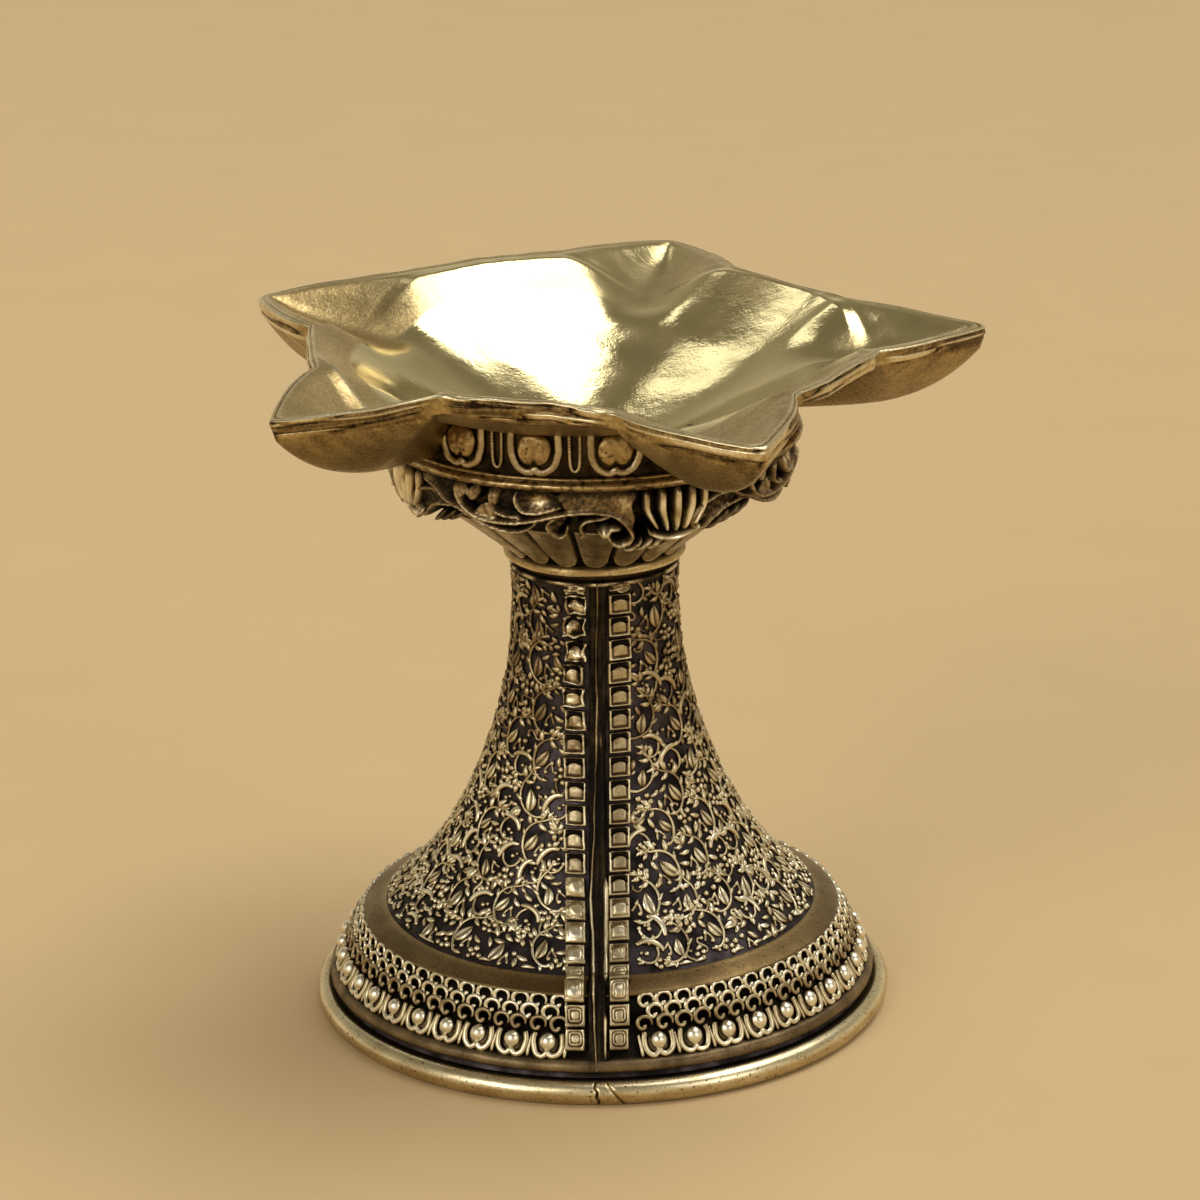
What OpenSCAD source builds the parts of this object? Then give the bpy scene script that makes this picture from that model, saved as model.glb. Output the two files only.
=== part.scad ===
// Brass oil lamp: a five-spouted star bowl on a carved cup, screwed onto a flared hollow pedestal.
// Sizes are in millimetres. The lamp stands on z = 0 with its axis along z, and its seam faces -y.

/* [Foot and base] */
// How far the foot ring stands out from the base drum
foot_proud = 2.7; // [2:0.1:5]
// Height of the foot ring
foot_h = 3.4; // [2.8:0.1:5]
// Width of the foot ring's flat underside
foot_w = 5.2; // [4.6:0.1:7]
// Height of the base drum
drum_h = 10.2; // [8:0.1:14]
// How much narrower the base drum is at its top
drum_taper = 5.2; // [4:0.1:6]
// Width of the drum's ledge round the pedestal's flare
ledge_w = 2.6; // [2:0.1:4]
// Height of the smooth moulding on top of the drum
moulding_h = 1.6; // [1.2:0.1:2.4]

/* [Carved strips] */
// Thickness of the scale strip and the petal strip
strip_t = 0.9; // [0.6:0.1:1.5]
// Height of the plain cove under the petal strip
cove_h = 1; // [0.6:0.1:1.6]
// Height of the scale strip
scale_h = 3.8; // [2.5:0.1:4.5]
// Rows of scales
scale_rows = 3; // [2:1:4]
// Beads around the petal strip, counting those left out at the seam
petal_beads_n = 46; // [36:1:54]
// Radius of a petal bead
petal_bead_r = 1.6; // [1.2:0.1:2]

/* [Pedestal] */
// Height of the flared pedestal above the moulding
trumpet_h = 51; // [40:0.5:65]
// Radius at the foot of the flare
flare_r = 31.1; // [27:0.1:36]
// Radius at the neck
neck_r = 11.5; // [11.4:0.1:14]
// Distance of the narrowest place below the pedestal's top
neck_drop = 4.5; // [2:0.5:8]
// Wall of the pedestal
shell_wall = 2; // [1.5:0.1:2.4]

/* [Seam] */
// Distance of each bead row from the seam
seam_offset = 2.9; // [2.6:0.1:3.6]
// Width of a square bead
seam_bead_w = 2.9; // [2.2:0.1:3.2]
// Length of a square bead along the seam
seam_bead_l = 2.7; // [2:0.1:3]
// Gap between square beads
seam_bead_gap = 0.6; // [0.4:0.1:1.2]
// How far a square bead stands out
seam_bead_t = 0.9; // [0.5:0.1:1.5]
// Width of the ridge along the seam
seam_ridge_w = 1.2; // [0.8:0.1:2]
// How far the seam ridge stands out
seam_ridge_t = 0.5; // [0.3:0.1:0.9]

/* [Screw joint] */
// Radius of the threaded stud under the cup
stud_r = 5; // [4:0.1:6]
// Radial clearance of the thread
thread_clear = 0.05; // [0.03:0.01:0.09]
// Rise of the lamp head for one turn
thread_pitch = 2; // [1:0.25:2.5]
// Turns from seated to the end of the thread
thread_turns = 3.75; // [2:0.25:4]
// Length of stud left in the bush at the end of the thread
stud_spare = 1.5; // [1:0.5:3]
// How far the stud is let into the cup
stud_seat = 5; // [3:0.5:6]
// Outer radius of the threaded bush in the neck
bush_r = 9.4; // [8:0.1:9.8]
// Height of the threaded bush
bush_h = 10; // [8:0.5:14]
// Radius of the neck collar
collar_r = 12.74; // [12.4:0.02:15]
// Height of the neck collar
collar_h = 2.6; // [2:0.1:4]
// Clearance of the stud in the collar
collar_clear = 0.3; // [0.2:0.1:0.8]

/* [Cup] */
// Radius at the foot of the fluted cup
cup_foot_r = 12.2; // [11:0.1:12.4]
// Radius at the top of the fluted cup
cup_top_r = 22.3; // [20:0.1:24]
// Height of the fluted cup
cup_h = 8.2; // [7:0.1:11]
// Flutes around the cup
flutes_n = 20; // [16:1:28]
// Radius of the groove between two flutes
groove_r = 0.6; // [0.4:0.1:0.8]
// Wall of the cup and of the frieze ring
cup_wall = 2.4; // [1.8:0.1:2.6]
// Radius of the frieze ring at its top
frieze_r = 26.6; // [24.6:0.1:30]
// Height of the frieze ring
frieze_h = 7.6; // [6.6:0.1:9]
// Height of the slanted lower part of the frieze ring
frieze_flare_h = 4; // [3:0.1:5]
// How far the round moulding over the frieze stands out from the egg band
cup_moulding_proud = 1.4; // [1:0.1:2.4]
// Height of the round moulding over the frieze
cup_moulding_h = 2; // [1.6:0.1:2.6]

/* [Carved frieze] */
// Thickness of the scroll stems
stem_t = 1.8; // [1.4:0.1:2.2]
// Radius of a scroll's curled end
volute_r = 2.1; // [1.6:0.1:2.4]
// Radius of a leaf lobe
lobe_r = 1.9; // [1.5:0.1:2]
// Length of a shell's ribs
shell_r = 4.4; // [3.6:0.1:4.6]
// Thickness of a shell
shell_t = 1.6; // [1:0.1:2.2]

/* [Egg band] */
// How far the egg band stands out from the frieze ring
band_proud = 1.6; // [1:0.1:2.6]
// Wall of the egg band
band_wall = 0.8; // [0.6:0.1:1.2]
// Height of the egg band
band_h = 5.6; // [5:0.1:6.2]
// Width of the channel between an egg and its frame
egg_channel = 0.5; // [0.3:0.1:0.8]
// Width of the frame round an egg
egg_frame_w = 0.9; // [0.6:0.1:1]
// Thickness of that frame and of the darts
egg_frame_t = 0.8; // [0.6:0.1:1]
// Width of a dart at its top
dart_w = 1.4; // [1:0.1:1.8]
// Angle between one egg and the next
egg_step = 21.5; // [20.5:0.1:22]

/* [Star bowl] */
// Direction of the first spout
spout_turn = 5; // [0:1:71]
// Radius to the point of a spout, before it is rounded
tip_r = 57; // [52:0.1:62]
// Distance of the straight rim between two spouts
rim_flat_r = 39.3; // [37:0.1:42]
// Half the length of that straight rim
rim_flat_half = 12; // [9:0.1:14]
// Height of the rim above the egg band
rim_rise = 6.8; // [5.5:0.1:9]
// How much lower a spout's point is than the rim
tip_drop = 1.3; // [0:0.1:2.5]
// Width of the rim's lip
lip_w = 2.2; // [1.6:0.1:2.8]
// Thickness of the rim's lip
lip_t = 2.6; // [2:0.1:3.2]
// Rounding of the lip's outer edge
lip_round = 0.6; // [0.3:0.1:0.9]
// Depth of the dish below the egg band's top
dish_d = 10; // [8:0.5:13]
// Roundness of the dish's bottom
dish_round = 12; // [8:0.5:16]
// Thickness of the dish
dish_wall = 1.6; // [1.2:0.1:2]
// Thickness of the bowl where it seats on the egg band
seat_t = 1; // [0.8:0.1:1.6]
// Gap between a spout's keel and the round moulding
keel_clear = 0.4; // [0.3:0.1:2]
// Gap between a spout's keel and the egg band
keel_gap = 0.3; // [0.2:0.05:0.6]

/* [Hidden] */
$fn = 72;
overlap = 0.01;
seam_angle = 270;
spouts_n = 5;

// Heights of the stack, from the table up
z_drum_top = foot_h + drum_h;
z_flare = z_drum_top + moulding_h;
z_neck = z_flare + trumpet_h;
z_collar_top = z_neck + collar_h;
z_cup_top = z_collar_top + cup_h;
z_frieze_top = z_cup_top + frieze_h;
z_cup_moulding_top = z_frieze_top + cup_moulding_h;
z_seat = z_cup_moulding_top + band_h;
z_rim = z_seat + rim_rise;
z_scale_low = z_drum_top - scale_h;
z_petal_low = foot_h + cove_h;

// The drum widens from the pedestal's flare down, the foot ring stands out from it, and the egg band
// stands out from the frieze ring
drum_r = flare_r + ledge_w + drum_taper;
foot_r = drum_r + foot_proud;
band_r = frieze_r + band_proud;

// The drum's sloping side, and the outer face of the strips on it
function drum_side(z) = drum_r - drum_taper * (z - foot_h) / drum_h;
function strip_side(z) = drum_side(z) + strip_t;
drum_lean = atan(drum_taper / drum_h);

// The pedestal's flare is a parabola with a sharper turn-out near its foot
flare_share = 0.85;
flare_turn = 9;
z_narrow = z_neck - neck_drop;
function flare_s(z) = abs(z_narrow - z) / (z_narrow - z_flare);
function trumpet_r(z) =
    neck_r + (flare_r - neck_r)
    * (flare_share * pow(flare_s(z), 2) + (1 - flare_share) * pow(flare_s(z), flare_turn));
flare_steps = 24;
trumpet_zs = [for (i = [0:flare_steps]) z_flare + trumpet_h * i / flare_steps];

// Outer face of the whole pedestal, on which the seam's beads sit
function moulding_side(z) =
    flare_r + (strip_side(z_drum_top) - flare_r) * sqrt(max(0, (z_flare - z) / moulding_h));
function face_r(z) =
    z >= z_flare ? trumpet_r(z) : z > z_drum_top ? moulding_side(z) : strip_side(z);
moulding_zs = [for (i = [1:5]) z_drum_top + moulding_h * i / 6];
face_zs = concat([z_petal_low, z_drum_top], moulding_zs, trumpet_zs);
face_points = [for (z = face_zs) [face_r(z), z]];

// Places of the square beads, stepped along the slope of that face
slope_step = 0.05;
function face_slope(z) = (face_r(z + slope_step) - face_r(z - slope_step)) / (2 * slope_step);
seam_pitch = seam_bead_l + seam_bead_gap;
seam_zs = [
    for (z = z_neck - seam_pitch / 2; z > z_petal_low + seam_bead_l / 2;
         z = z - seam_pitch * cos(atan(face_slope(z)))) z
];

// The star's plan: straight rims between the spouts, and straight spout sides from them to the points
half_step = 180 / spouts_n;
tip_soft = 1;
corner_r = sqrt(pow(rim_flat_r, 2) + pow(rim_flat_half, 2));
corner_a = half_step - atan(rim_flat_half / rim_flat_r);
side_a = atan2(tip_r - corner_r * cos(corner_a), corner_r * sin(corner_a));
side_d = tip_r * cos(side_a);
function star_r(a, inset) =
    max((side_d - inset) / cos(side_a - sqrt(a * a + tip_soft * tip_soft)),
        (rim_flat_r - inset) / cos(half_step - abs(a)));
function spout_half_a(r, inset) =
    r <= corner_r - inset ? corner_a
    : max(0.5, side_a - acos(min(1, (side_d - inset) / r)));

// Heights of the rim, the dish and the spout channels
function rim_z(r) = z_rim - tip_drop * max(0, r - corner_r) / (tip_r - corner_r);
band_in_r = band_r - band_wall;
z_throat = z_seat + seat_t;
function dish_s(r) = (norm([r, dish_round]) - dish_round) / (norm([band_in_r, dish_round]) - dish_round);
function dish_z(r) =
    r <= band_in_r ? z_throat - (dish_d + seat_t) * (1 - dish_s(r))
    : z_throat + (z_rim - z_throat) * (r - band_in_r) / (rim_flat_r - lip_w - band_in_r);
channel_curve = 2.6;
channel_end_r = star_r(0, lip_w);
function channel_z(r) =
    r <= band_in_r ? dish_z(r)
    : z_throat + (rim_z(channel_end_r) - z_throat)
    * pow(min(1, (r - band_in_r) / (channel_end_r - band_in_r)), channel_curve);
function inside_z(r, a) =
    let (edge = min(dish_z(r), rim_z(r)), x = min(1, abs(a) / spout_half_a(r, lip_w)))
    channel_z(r) + (edge - channel_z(r)) * x * x;

// Heights of the underside: a flare under the straight rims, and a rounded keel under each spout
root_r = band_r + keel_gap;
root_half_a = 7;
keel_drop = band_h - keel_clear;
root_spread_r = band_r + 1.4;
keel_curve = 3.7;
keel_soft = 0.3;
function flare_z(r) =
    min(z_seat + (z_rim - lip_t - z_seat) * (r - band_r) / (rim_flat_r - band_r), rim_z(r) - lip_t);
function keel_z(r) =
    z_seat - keel_drop + (rim_z(tip_r) - lip_t - z_seat + keel_drop)
    * pow((r - band_r) / (star_r(0, 0) - band_r), keel_curve);
function keel_half_a(r) =
    r >= corner_r ? spout_half_a(r, 0)
    : root_half_a + (corner_a - root_half_a) * max(0, r - root_spread_r) / (corner_r - root_spread_r);
function keel_s(x) = (norm([x, keel_soft]) - keel_soft) / (norm([1, keel_soft]) - keel_soft);
function under_z(r, a) =
    let (low = min(keel_z(r), flare_z(r)), x = min(1, abs(a) / keel_half_a(r)))
    low + (flare_z(r) - low) * keel_s(x);

brass = "#b08d4a";
dark_brass = "#6e5730";
bright_brass = "#d8c27c";

// Cast ring that the lamp stands on, rounded over at its outer top edge
module foot_ring() {
    round_r = foot_h / 2;
    color(brass)
        rotate_extrude() {
            translate([foot_r - foot_w, 0])
                square([foot_w - round_r, foot_h]);
            translate([foot_r - 2 * round_r, 0])
                square([round_r + round_r / 2, round_r]);
            translate([foot_r - round_r, round_r])
                circle(r = round_r);
        }
}

// Hollow casting of the base drum and the flared pedestal, with a straight seat for the bush
module pedestal_shell() {
    z_bush = z_neck - bush_h;
    z_drum_in = z_drum_top - shell_wall;
    inner = concat(
        [[drum_r - shell_wall, foot_h], [drum_side(z_drum_in) - shell_wall, z_drum_in],
         [flare_r - shell_wall, z_drum_in]],
        [for (z = trumpet_zs) if (z < z_bush) [trumpet_r(z) - shell_wall, z]],
        [[bush_r, z_bush], [bush_r, z_neck]]
    );
    outer = concat(
        [[drum_r, foot_h], [drum_side(z_drum_top), z_drum_top], [flare_r, z_drum_top]],
        [for (z = trumpet_zs) [trumpet_r(z), z]]
    );
    color(dark_brass)
        rotate_extrude()
            polygon(concat(inner, [for (i = [len(outer) - 1:-1:0]) outer[i]]));
}

// Smooth rounded band between the drum and the flare
module base_moulding() {
    side = [for (z = concat([z_drum_top], moulding_zs, [z_flare])) [moulding_side(z), z]];
    color(brass)
        rotate_extrude()
            polygon(concat([[flare_r, z_drum_top]], side));
}

// Strip of the drum's side between two heights
module strip_section(z_low, z_high, thick) {
    polygon([
        [drum_side(z_low), z_low], [drum_side(z_low) + thick, z_low],
        [drum_side(z_high) + thick, z_high], [drum_side(z_high), z_high]
    ]);
}

// Upper strip, with a roll for each row of scales
module scale_strip() {
    roll_r = strip_t / 3;
    row_h = scale_h / scale_rows;
    color(dark_brass)
        rotate_extrude() {
            strip_section(z_scale_low, z_drum_top, strip_t / 2);
            for (i = [0:scale_rows - 1]) {
                z = z_scale_low + (i + 0.5) * row_h;
                translate([strip_side(z) - roll_r / cos(drum_lean), z])
                    circle(r = roll_r);
            }
        }
}

// Lower strip, which carries the petal beads
module petal_strip() {
    color(dark_brass)
        rotate_extrude()
            strip_section(z_petal_low, z_scale_low, strip_t);
}

// Half disc over the line y = 0, and a half ball over the plane z = 0
module half_disc(r) {
    intersection() {
        circle(r = r);
        translate([-r, 0])
            square([2 * r, r]);
    }
}

module half_ball(r) {
    rotate_extrude()
        intersection() {
            circle(r = r);
            square([r, r]);
        }
}

// Round beads along the petal strip, left out at the seam
module petal_beads() {
    step = 360 / petal_beads_n;
    z = (z_petal_low + z_scale_low) / 2;
    clear_a = asin((seam_offset + seam_bead_w / 2 + petal_bead_r) / strip_side(z));
    color(bright_brass)
        for (i = [0:petal_beads_n - 1]) {
            a = (i + 0.5) * step;
            if (min(a, 360 - a) > clear_a)
                rotate(seam_angle + a)
                    translate([strip_side(z), 0, z])
                        rotate([0, 90 - drum_lean, 0])
                            half_ball(petal_bead_r);
        }
}

// Solid of everything inside the pedestal's outer face, for seating what is laid on it
module inside_of_face() {
    rotate_extrude()
        polygon(concat([[0, z_petal_low]], face_points, [[0, z_neck]]));
}

// Raised ridge where the pedestal's pattern meets
module seam_ridge() {
    outside = [for (i = [len(face_points) - 1:-1:0]) face_points[i] + [seam_ridge_t, 0]];
    color(dark_brass)
        intersection() {
            rotate_extrude()
                polygon(concat(face_points, outside));
            rotate(seam_angle)
                translate([0, -seam_ridge_w / 2, 0])
                    cube([2 * foot_r, seam_ridge_w, z_neck]);
        }
}

// One column of square beads beside the seam
module seam_beads(side) {
    difference() {
        for (z = seam_zs)
            rotate(seam_angle)
                translate([face_r(z), side * seam_offset, z])
                    rotate([0, atan(face_slope(z)), 0])
                        cube([2 * seam_bead_t, seam_bead_w, seam_bead_l], center = true);
        inside_of_face();
    }
}

module seam_beads_left() {
    color(bright_brass)
        seam_beads(-1);
}

module seam_beads_right() {
    color(bright_brass)
        seam_beads(1);
}

// Threaded bush brazed into the pedestal's neck; the thread is a plain bore
module neck_bush() {
    color(brass)
        translate([0, 0, z_neck - bush_h])
            difference() {
                cylinder(r = bush_r, h = bush_h);
                translate([0, 0, -1])
                    cylinder(r = stud_r + thread_clear, h = bush_h + 2);
            }
}

// Loose round collar between the pedestal and the cup
module neck_collar() {
    round_r = collar_h / 2;
    color(bright_brass)
        translate([0, 0, z_neck])
            difference() {
                rotate_extrude() {
                    square([collar_r - round_r, collar_h]);
                    translate([collar_r - round_r, round_r])
                        circle(r = round_r);
                }
                translate([0, 0, -1])
                    cylinder(r = stud_r + collar_clear, h = collar_h + 2);
            }
}

// Threaded stud fixed in the cup; the thread is a plain cylinder
module head_stud() {
    stud_below = thread_turns * thread_pitch + stud_spare;
    color(brass)
        translate([0, 0, z_neck - stud_below])
            cylinder(r = stud_r, h = stud_below + collar_h + stud_seat);
}

// Flared cup with flutes, open at the top and bored for the stud
module fluted_cup() {
    slope = atan2(cup_top_r - cup_foot_r, cup_h);
    length = norm([cup_top_r - cup_foot_r, cup_h]);
    floor_h = stud_seat + 1;
    color(brass)
        difference() {
            translate([0, 0, z_collar_top])
                cylinder(r1 = cup_foot_r, r2 = cup_top_r, h = cup_h);
            for (i = [0:flutes_n - 1])
                rotate((i + 0.5) * 360 / flutes_n)
                    translate([cup_foot_r, 0, z_collar_top])
                        rotate([0, slope, 0])
                            translate([0, 0, -1])
                                cylinder(r = groove_r, h = length + 2);
            translate([0, 0, z_collar_top - 1])
                cylinder(r = stud_r, h = stud_seat + 1);
            translate([0, 0, z_collar_top + floor_h])
                cylinder(
                    r1 = cup_foot_r - cup_wall,
                    r2 = cup_top_r - cup_wall,
                    h = cup_h - floor_h + overlap
                );
        }
}

// Outer profile of the frieze ring
z_frieze_bend = z_cup_top + frieze_flare_h;
frieze_face = [[cup_top_r, z_cup_top], [frieze_r, z_frieze_bend], [frieze_r, z_frieze_top]];

// Ring that carries the scrolls and shells
module frieze_ring() {
    color(dark_brass)
        rotate_extrude()
            polygon(concat(
                [for (i = [2:-1:0]) frieze_face[i] - [cup_wall, 0]],
                frieze_face
            ));
}

// The carving repeats four times round, not with the five spouts; one shell comes under the front spout
scrolls_n = 4;
shell_turn = 22;
scroll_step = 360 / scrolls_n;

// One scroll: a stem along the ring's slope, a curled end and a row of leaf lobes, between two shells
stem_from = -33;
stem_span = 51;
curl_a = 26;
lobe_from = -29;
lobe_step = 12;
lobe_count = 4;
carving_gap = 0.2;
module scroll() {
    run = frieze_r - cup_top_r;
    slope = atan2(frieze_flare_h, run);
    middle = [cup_top_r + run / 2, z_cup_top + frieze_flare_h / 2];
    rotate(stem_from)
        rotate_extrude(angle = stem_span)
            translate(middle)
                rotate(slope + 180)
                    half_disc(stem_t / 2);
    rotate(curl_a)
        translate([middle[0], 0, middle[1]])
            rotate([0, 180 - slope, 0])
                rotate_extrude()
                    translate([volute_r, 0])
                        half_disc(stem_t / 2);
    for (i = [0:lobe_count - 1])
        rotate(lobe_from + i * lobe_step)
            translate([frieze_r, 0, z_frieze_top - carving_gap - lobe_r])
                rotate([0, 90, 0])
                    half_ball(lobe_r);
}

// Scrolls of leaf between the shells
module acanthus_scrolls() {
    color(brass)
        for (i = [0:scrolls_n - 1])
            rotate(shell_turn + (i + 0.5) * scroll_step)
                scroll();
}

// Flat outline stood up on the tangent plane at a radius, and thickened outwards
module on_tangent(r, z, thick) {
    translate([r, 0, z])
        rotate([90, 0, 90])
            linear_extrude(height = thick)
                children();
}

// Outline of one rib of a shell: a wedge with a round end
module shell_rib(end_r) {
    polygon([[0, 0], [end_r, shell_r], [-end_r, shell_r]]);
    translate([0, shell_r])
        circle(r = end_r);
}

// Ribbed shells between the scrolls: a fan of ribs that run into one another
shell_ribs = 5;
shell_fan = 26;
module shell_mounts() {
    end_r = 1.2 * shell_r * sin(shell_fan / 2);
    color(bright_brass)
        for (i = [0:scrolls_n - 1])
            rotate(shell_turn + i * scroll_step)
                on_tangent(frieze_r, z_frieze_top - carving_gap - shell_r - end_r, shell_t)
                    for (k = [0:shell_ribs - 1])
                        rotate(shell_fan * (k - (shell_ribs - 1) / 2))
                            shell_rib(end_r);
}

// Half-round moulding over the frieze
module cup_moulding() {
    cup_moulding_r = band_r + cup_moulding_proud;
    round_r = cup_moulding_h / 2;
    inner_r = frieze_r - cup_wall;
    color(brass)
        translate([0, 0, z_frieze_top])
            rotate_extrude() {
                translate([inner_r, 0])
                    square([cup_moulding_r - round_r - inner_r, cup_moulding_h]);
                translate([cup_moulding_r - round_r, round_r])
                    circle(r = round_r);
            }
}

// Upright band under the bowl
module egg_band() {
    color(dark_brass)
        translate([0, 0, z_cup_moulding_top])
            difference() {
                cylinder(r = band_r, h = band_h);
                translate([0, 0, -1])
                    cylinder(r = band_in_r, h = band_h + 2);
            }
}

// What repeats at each egg between two spouts, at places counted in eggs from the middle one
module at_eggs(places) {
    for (i = [0:spouts_n - 1], k = places)
        rotate(spout_turn + (2 * i + 1) * half_step + k * egg_step)
            children();
}

// The frames stand on the moulding, and the eggs end just under the bowl
egg_gap = 0.2;
egg_r = (band_h - egg_gap - egg_channel - egg_frame_w) / 2;
egg_frame_r = egg_r + egg_channel + egg_frame_w;
z_egg = z_cup_moulding_top + egg_frame_r;

// Outline of a round-bottomed opening, its round part below y = 0
module egg_outline(r, top) {
    rotate(180)
        half_disc(r);
    translate([-r, -overlap])
        square([2 * r, top + overlap]);
}

// U-shaped frames round the eggs
module egg_frames() {
    color(brass)
        at_eggs([-1, 0, 1])
            on_tangent(band_r, z_egg, egg_frame_t)
                difference() {
                    egg_outline(egg_frame_r, z_seat - z_egg);
                    egg_outline(egg_frame_r - egg_frame_w, z_seat);
                }
}

// Domed eggs in their frames
module eggs() {
    color(bright_brass)
        at_eggs([-1, 0, 1])
            translate([band_r, 0, z_egg])
                rotate([0, 90, 0])
                    half_ball(egg_r);
}

// Darts between the eggs, narrower at the foot
module darts() {
    color(bright_brass)
        at_eggs([-0.5, 0.5])
            on_tangent(band_r, z_cup_moulding_top, egg_frame_t)
                polygon([
                    [-dart_w / 4, 0], [dart_w / 4, 0],
                    [dart_w / 2, band_h], [-dart_w / 2, band_h]
                ]);
}

// Rings of the bowl, each a pair of radius and height at an angle from the nearest spout
steps_per_spout = 16;
spacing_curve = 1.6;
function spout_angle(i) =
    let (u = 2 * (i % steps_per_spout) / steps_per_spout - 1)
    half_step * sign(u) * pow(abs(u), spacing_curve);
function bowl_rings(a) =
    let (r_out = star_r(a, 0), r_in = star_r(a, lip_w), zr = rim_z(r_out))
    concat(
        [for (f = [0.33, 0.66, 0.88, 1]) [f * band_in_r, inside_z(f * band_in_r, a)]],
        [for (f = [0.25, 0.5, 0.75]) let (r = band_in_r + f * (r_in - band_in_r)) [r, inside_z(r, a)]],
        [[r_in, rim_z(r_in)], [r_out - lip_round, zr], [r_out, zr - lip_round], [r_out, zr - lip_t]],
        [for (f = [0.8, 0.6, 0.4, 0.2, 0]) let (r = root_r + f * (r_out - root_r)) [r, under_z(r, a)]],
        [[band_r + keel_gap / 2, z_seat], [band_in_r - keel_gap / 2, z_seat],
         [band_in_r - keel_gap, dish_z(band_in_r - keel_gap) - dish_wall]],
        [for (f = [0.88, 0.66, 0.33]) [f * band_in_r, dish_z(f * band_in_r) - dish_wall]]
    );

// Star-shaped bowl with a spout for a wick at each point
module star_bowl() {
    around = spouts_n * steps_per_spout;
    rays = [
        for (i = [0:around - 1])
            let (a = spout_angle(i),
                 turn = spout_turn + 2 * half_step * floor(i / steps_per_spout) + a)
            [for (p = bowl_rings(a)) [p[0] * cos(turn), p[0] * sin(turn), p[1]]]
    ];
    rings = len(rays[0]);
    top = around * rings;
    points = concat(
        [for (ray = rays, p = ray) p],
        [[0, 0, dish_z(0)], [0, 0, dish_z(0) - dish_wall]]
    );
    faces = concat(
        [for (i = [0:around - 1], k = [0:rings - 2])
            let (here = i * rings + k, next = ((i + 1) % around) * rings + k)
            each [[here, next + 1, next], [here, here + 1, next + 1]]],
        [for (i = [0:around - 1])
            let (here = i * rings, next = ((i + 1) % around) * rings)
            each [[top, here, next], [top + 1, next + rings - 1, here + rings - 1]]]
    );
    color(bright_brass)
        polyhedron(points, faces);
}

foot_ring();
pedestal_shell();
base_moulding();
scale_strip();
petal_strip();
petal_beads();
seam_ridge();
seam_beads_left();
seam_beads_right();
neck_bush();
neck_collar();
head_stud();
fluted_cup();
frieze_ring();
acanthus_scrolls();
shell_mounts();
cup_moulding();
egg_band();
egg_frames();
eggs();
darts();
star_bowl();
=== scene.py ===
import math
import bmesh
import bpy
import numpy as np
from mathutils import Matrix, Vector
from mathutils.kdtree import KDTree


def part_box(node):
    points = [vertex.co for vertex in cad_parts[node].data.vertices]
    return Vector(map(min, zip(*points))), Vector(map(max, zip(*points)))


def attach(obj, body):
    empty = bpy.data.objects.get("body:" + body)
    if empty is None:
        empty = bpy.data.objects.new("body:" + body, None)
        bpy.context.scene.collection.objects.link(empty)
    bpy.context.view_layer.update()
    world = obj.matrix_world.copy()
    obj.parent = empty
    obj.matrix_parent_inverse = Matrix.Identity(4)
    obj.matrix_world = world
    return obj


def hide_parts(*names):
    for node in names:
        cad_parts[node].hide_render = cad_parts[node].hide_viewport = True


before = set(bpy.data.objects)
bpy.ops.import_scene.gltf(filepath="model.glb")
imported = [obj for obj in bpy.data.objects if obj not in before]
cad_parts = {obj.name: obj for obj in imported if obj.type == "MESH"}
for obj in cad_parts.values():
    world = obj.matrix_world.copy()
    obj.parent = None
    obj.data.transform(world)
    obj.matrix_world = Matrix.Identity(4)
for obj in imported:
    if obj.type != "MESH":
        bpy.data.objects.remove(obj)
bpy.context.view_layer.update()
mm = 0.001                    # shapes below are in mm, and makePiece scales them once
tiny = 1e-9
seamAngle = 270.0             # the pattern's seam faces the viewer
spoutTurn, spoutCount = 5.0, 5
halfStep = 180.0 / spoutCount


def low(node):
    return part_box(node)[0].z / mm


def top(node):
    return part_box(node)[1].z / mm


# heights of the stack, from the solids
zFoot, zPetal, zScale = top("foot_ring"), low("petal_strip"), low("scale_strip")
zDrum, zFlare = low("base_moulding"), top("base_moulding")
zNeck, zCollar, zCup = low("neck_collar"), top("neck_collar"), top("fluted_cup")
zFrieze, zMoulding = top("frieze_ring"), top("cup_moulding")
zSeat, zRim = top("egg_band"), top("star_bowl")
print("frame loaded, lamp height", round(zRim, 1), "mm")


# helpers for shapes
def smooth(lowEdge, highEdge, value):
    t = np.clip((value - lowEdge) / (highEdge - lowEdge), 0, 1)
    return t * t * (3 - 2 * t)


def peak(value, at, wide):
    return np.exp(-((value - at) / wide) ** 2)


def roundAxis(r, degrees, z):
    # points at radius r and height z, turned round the lamp's axis
    r, a, z = np.broadcast_arrays(r, np.radians(degrees), z)
    return np.stack([r * np.cos(a), r * np.sin(a), z], -1)


def noiseOf(x, y, seed, period=64):
    # smooth seeded noise from -1 to 1, one bump to a unit; along x it repeats after a period
    rows = 64
    table = np.random.default_rng(seed).uniform(-1, 1, (period, rows))
    x, y = np.broadcast_arrays(np.asarray(x, float), np.asarray(y, float))
    i, j = np.floor(x).astype(int), np.floor(y).astype(int)
    u, v = x - i, y - j
    u, v = u * u * (3 - 2 * u), v * v * (3 - 2 * v)
    near = table[i % period, j % rows] * (1 - u) + table[(i + 1) % period, j % rows] * u
    far = table[i % period, (j + 1) % rows] * (1 - u) + table[(i + 1) % period, (j + 1) % rows] * u
    return near * (1 - v) + far * v


def ringNoise(degrees, bumps, seed, y=0.0):
    # the same noise round the axis, closing on itself
    return noiseOf(np.asarray(degrees) / 360 * bumps, y, seed, bumps)


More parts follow.
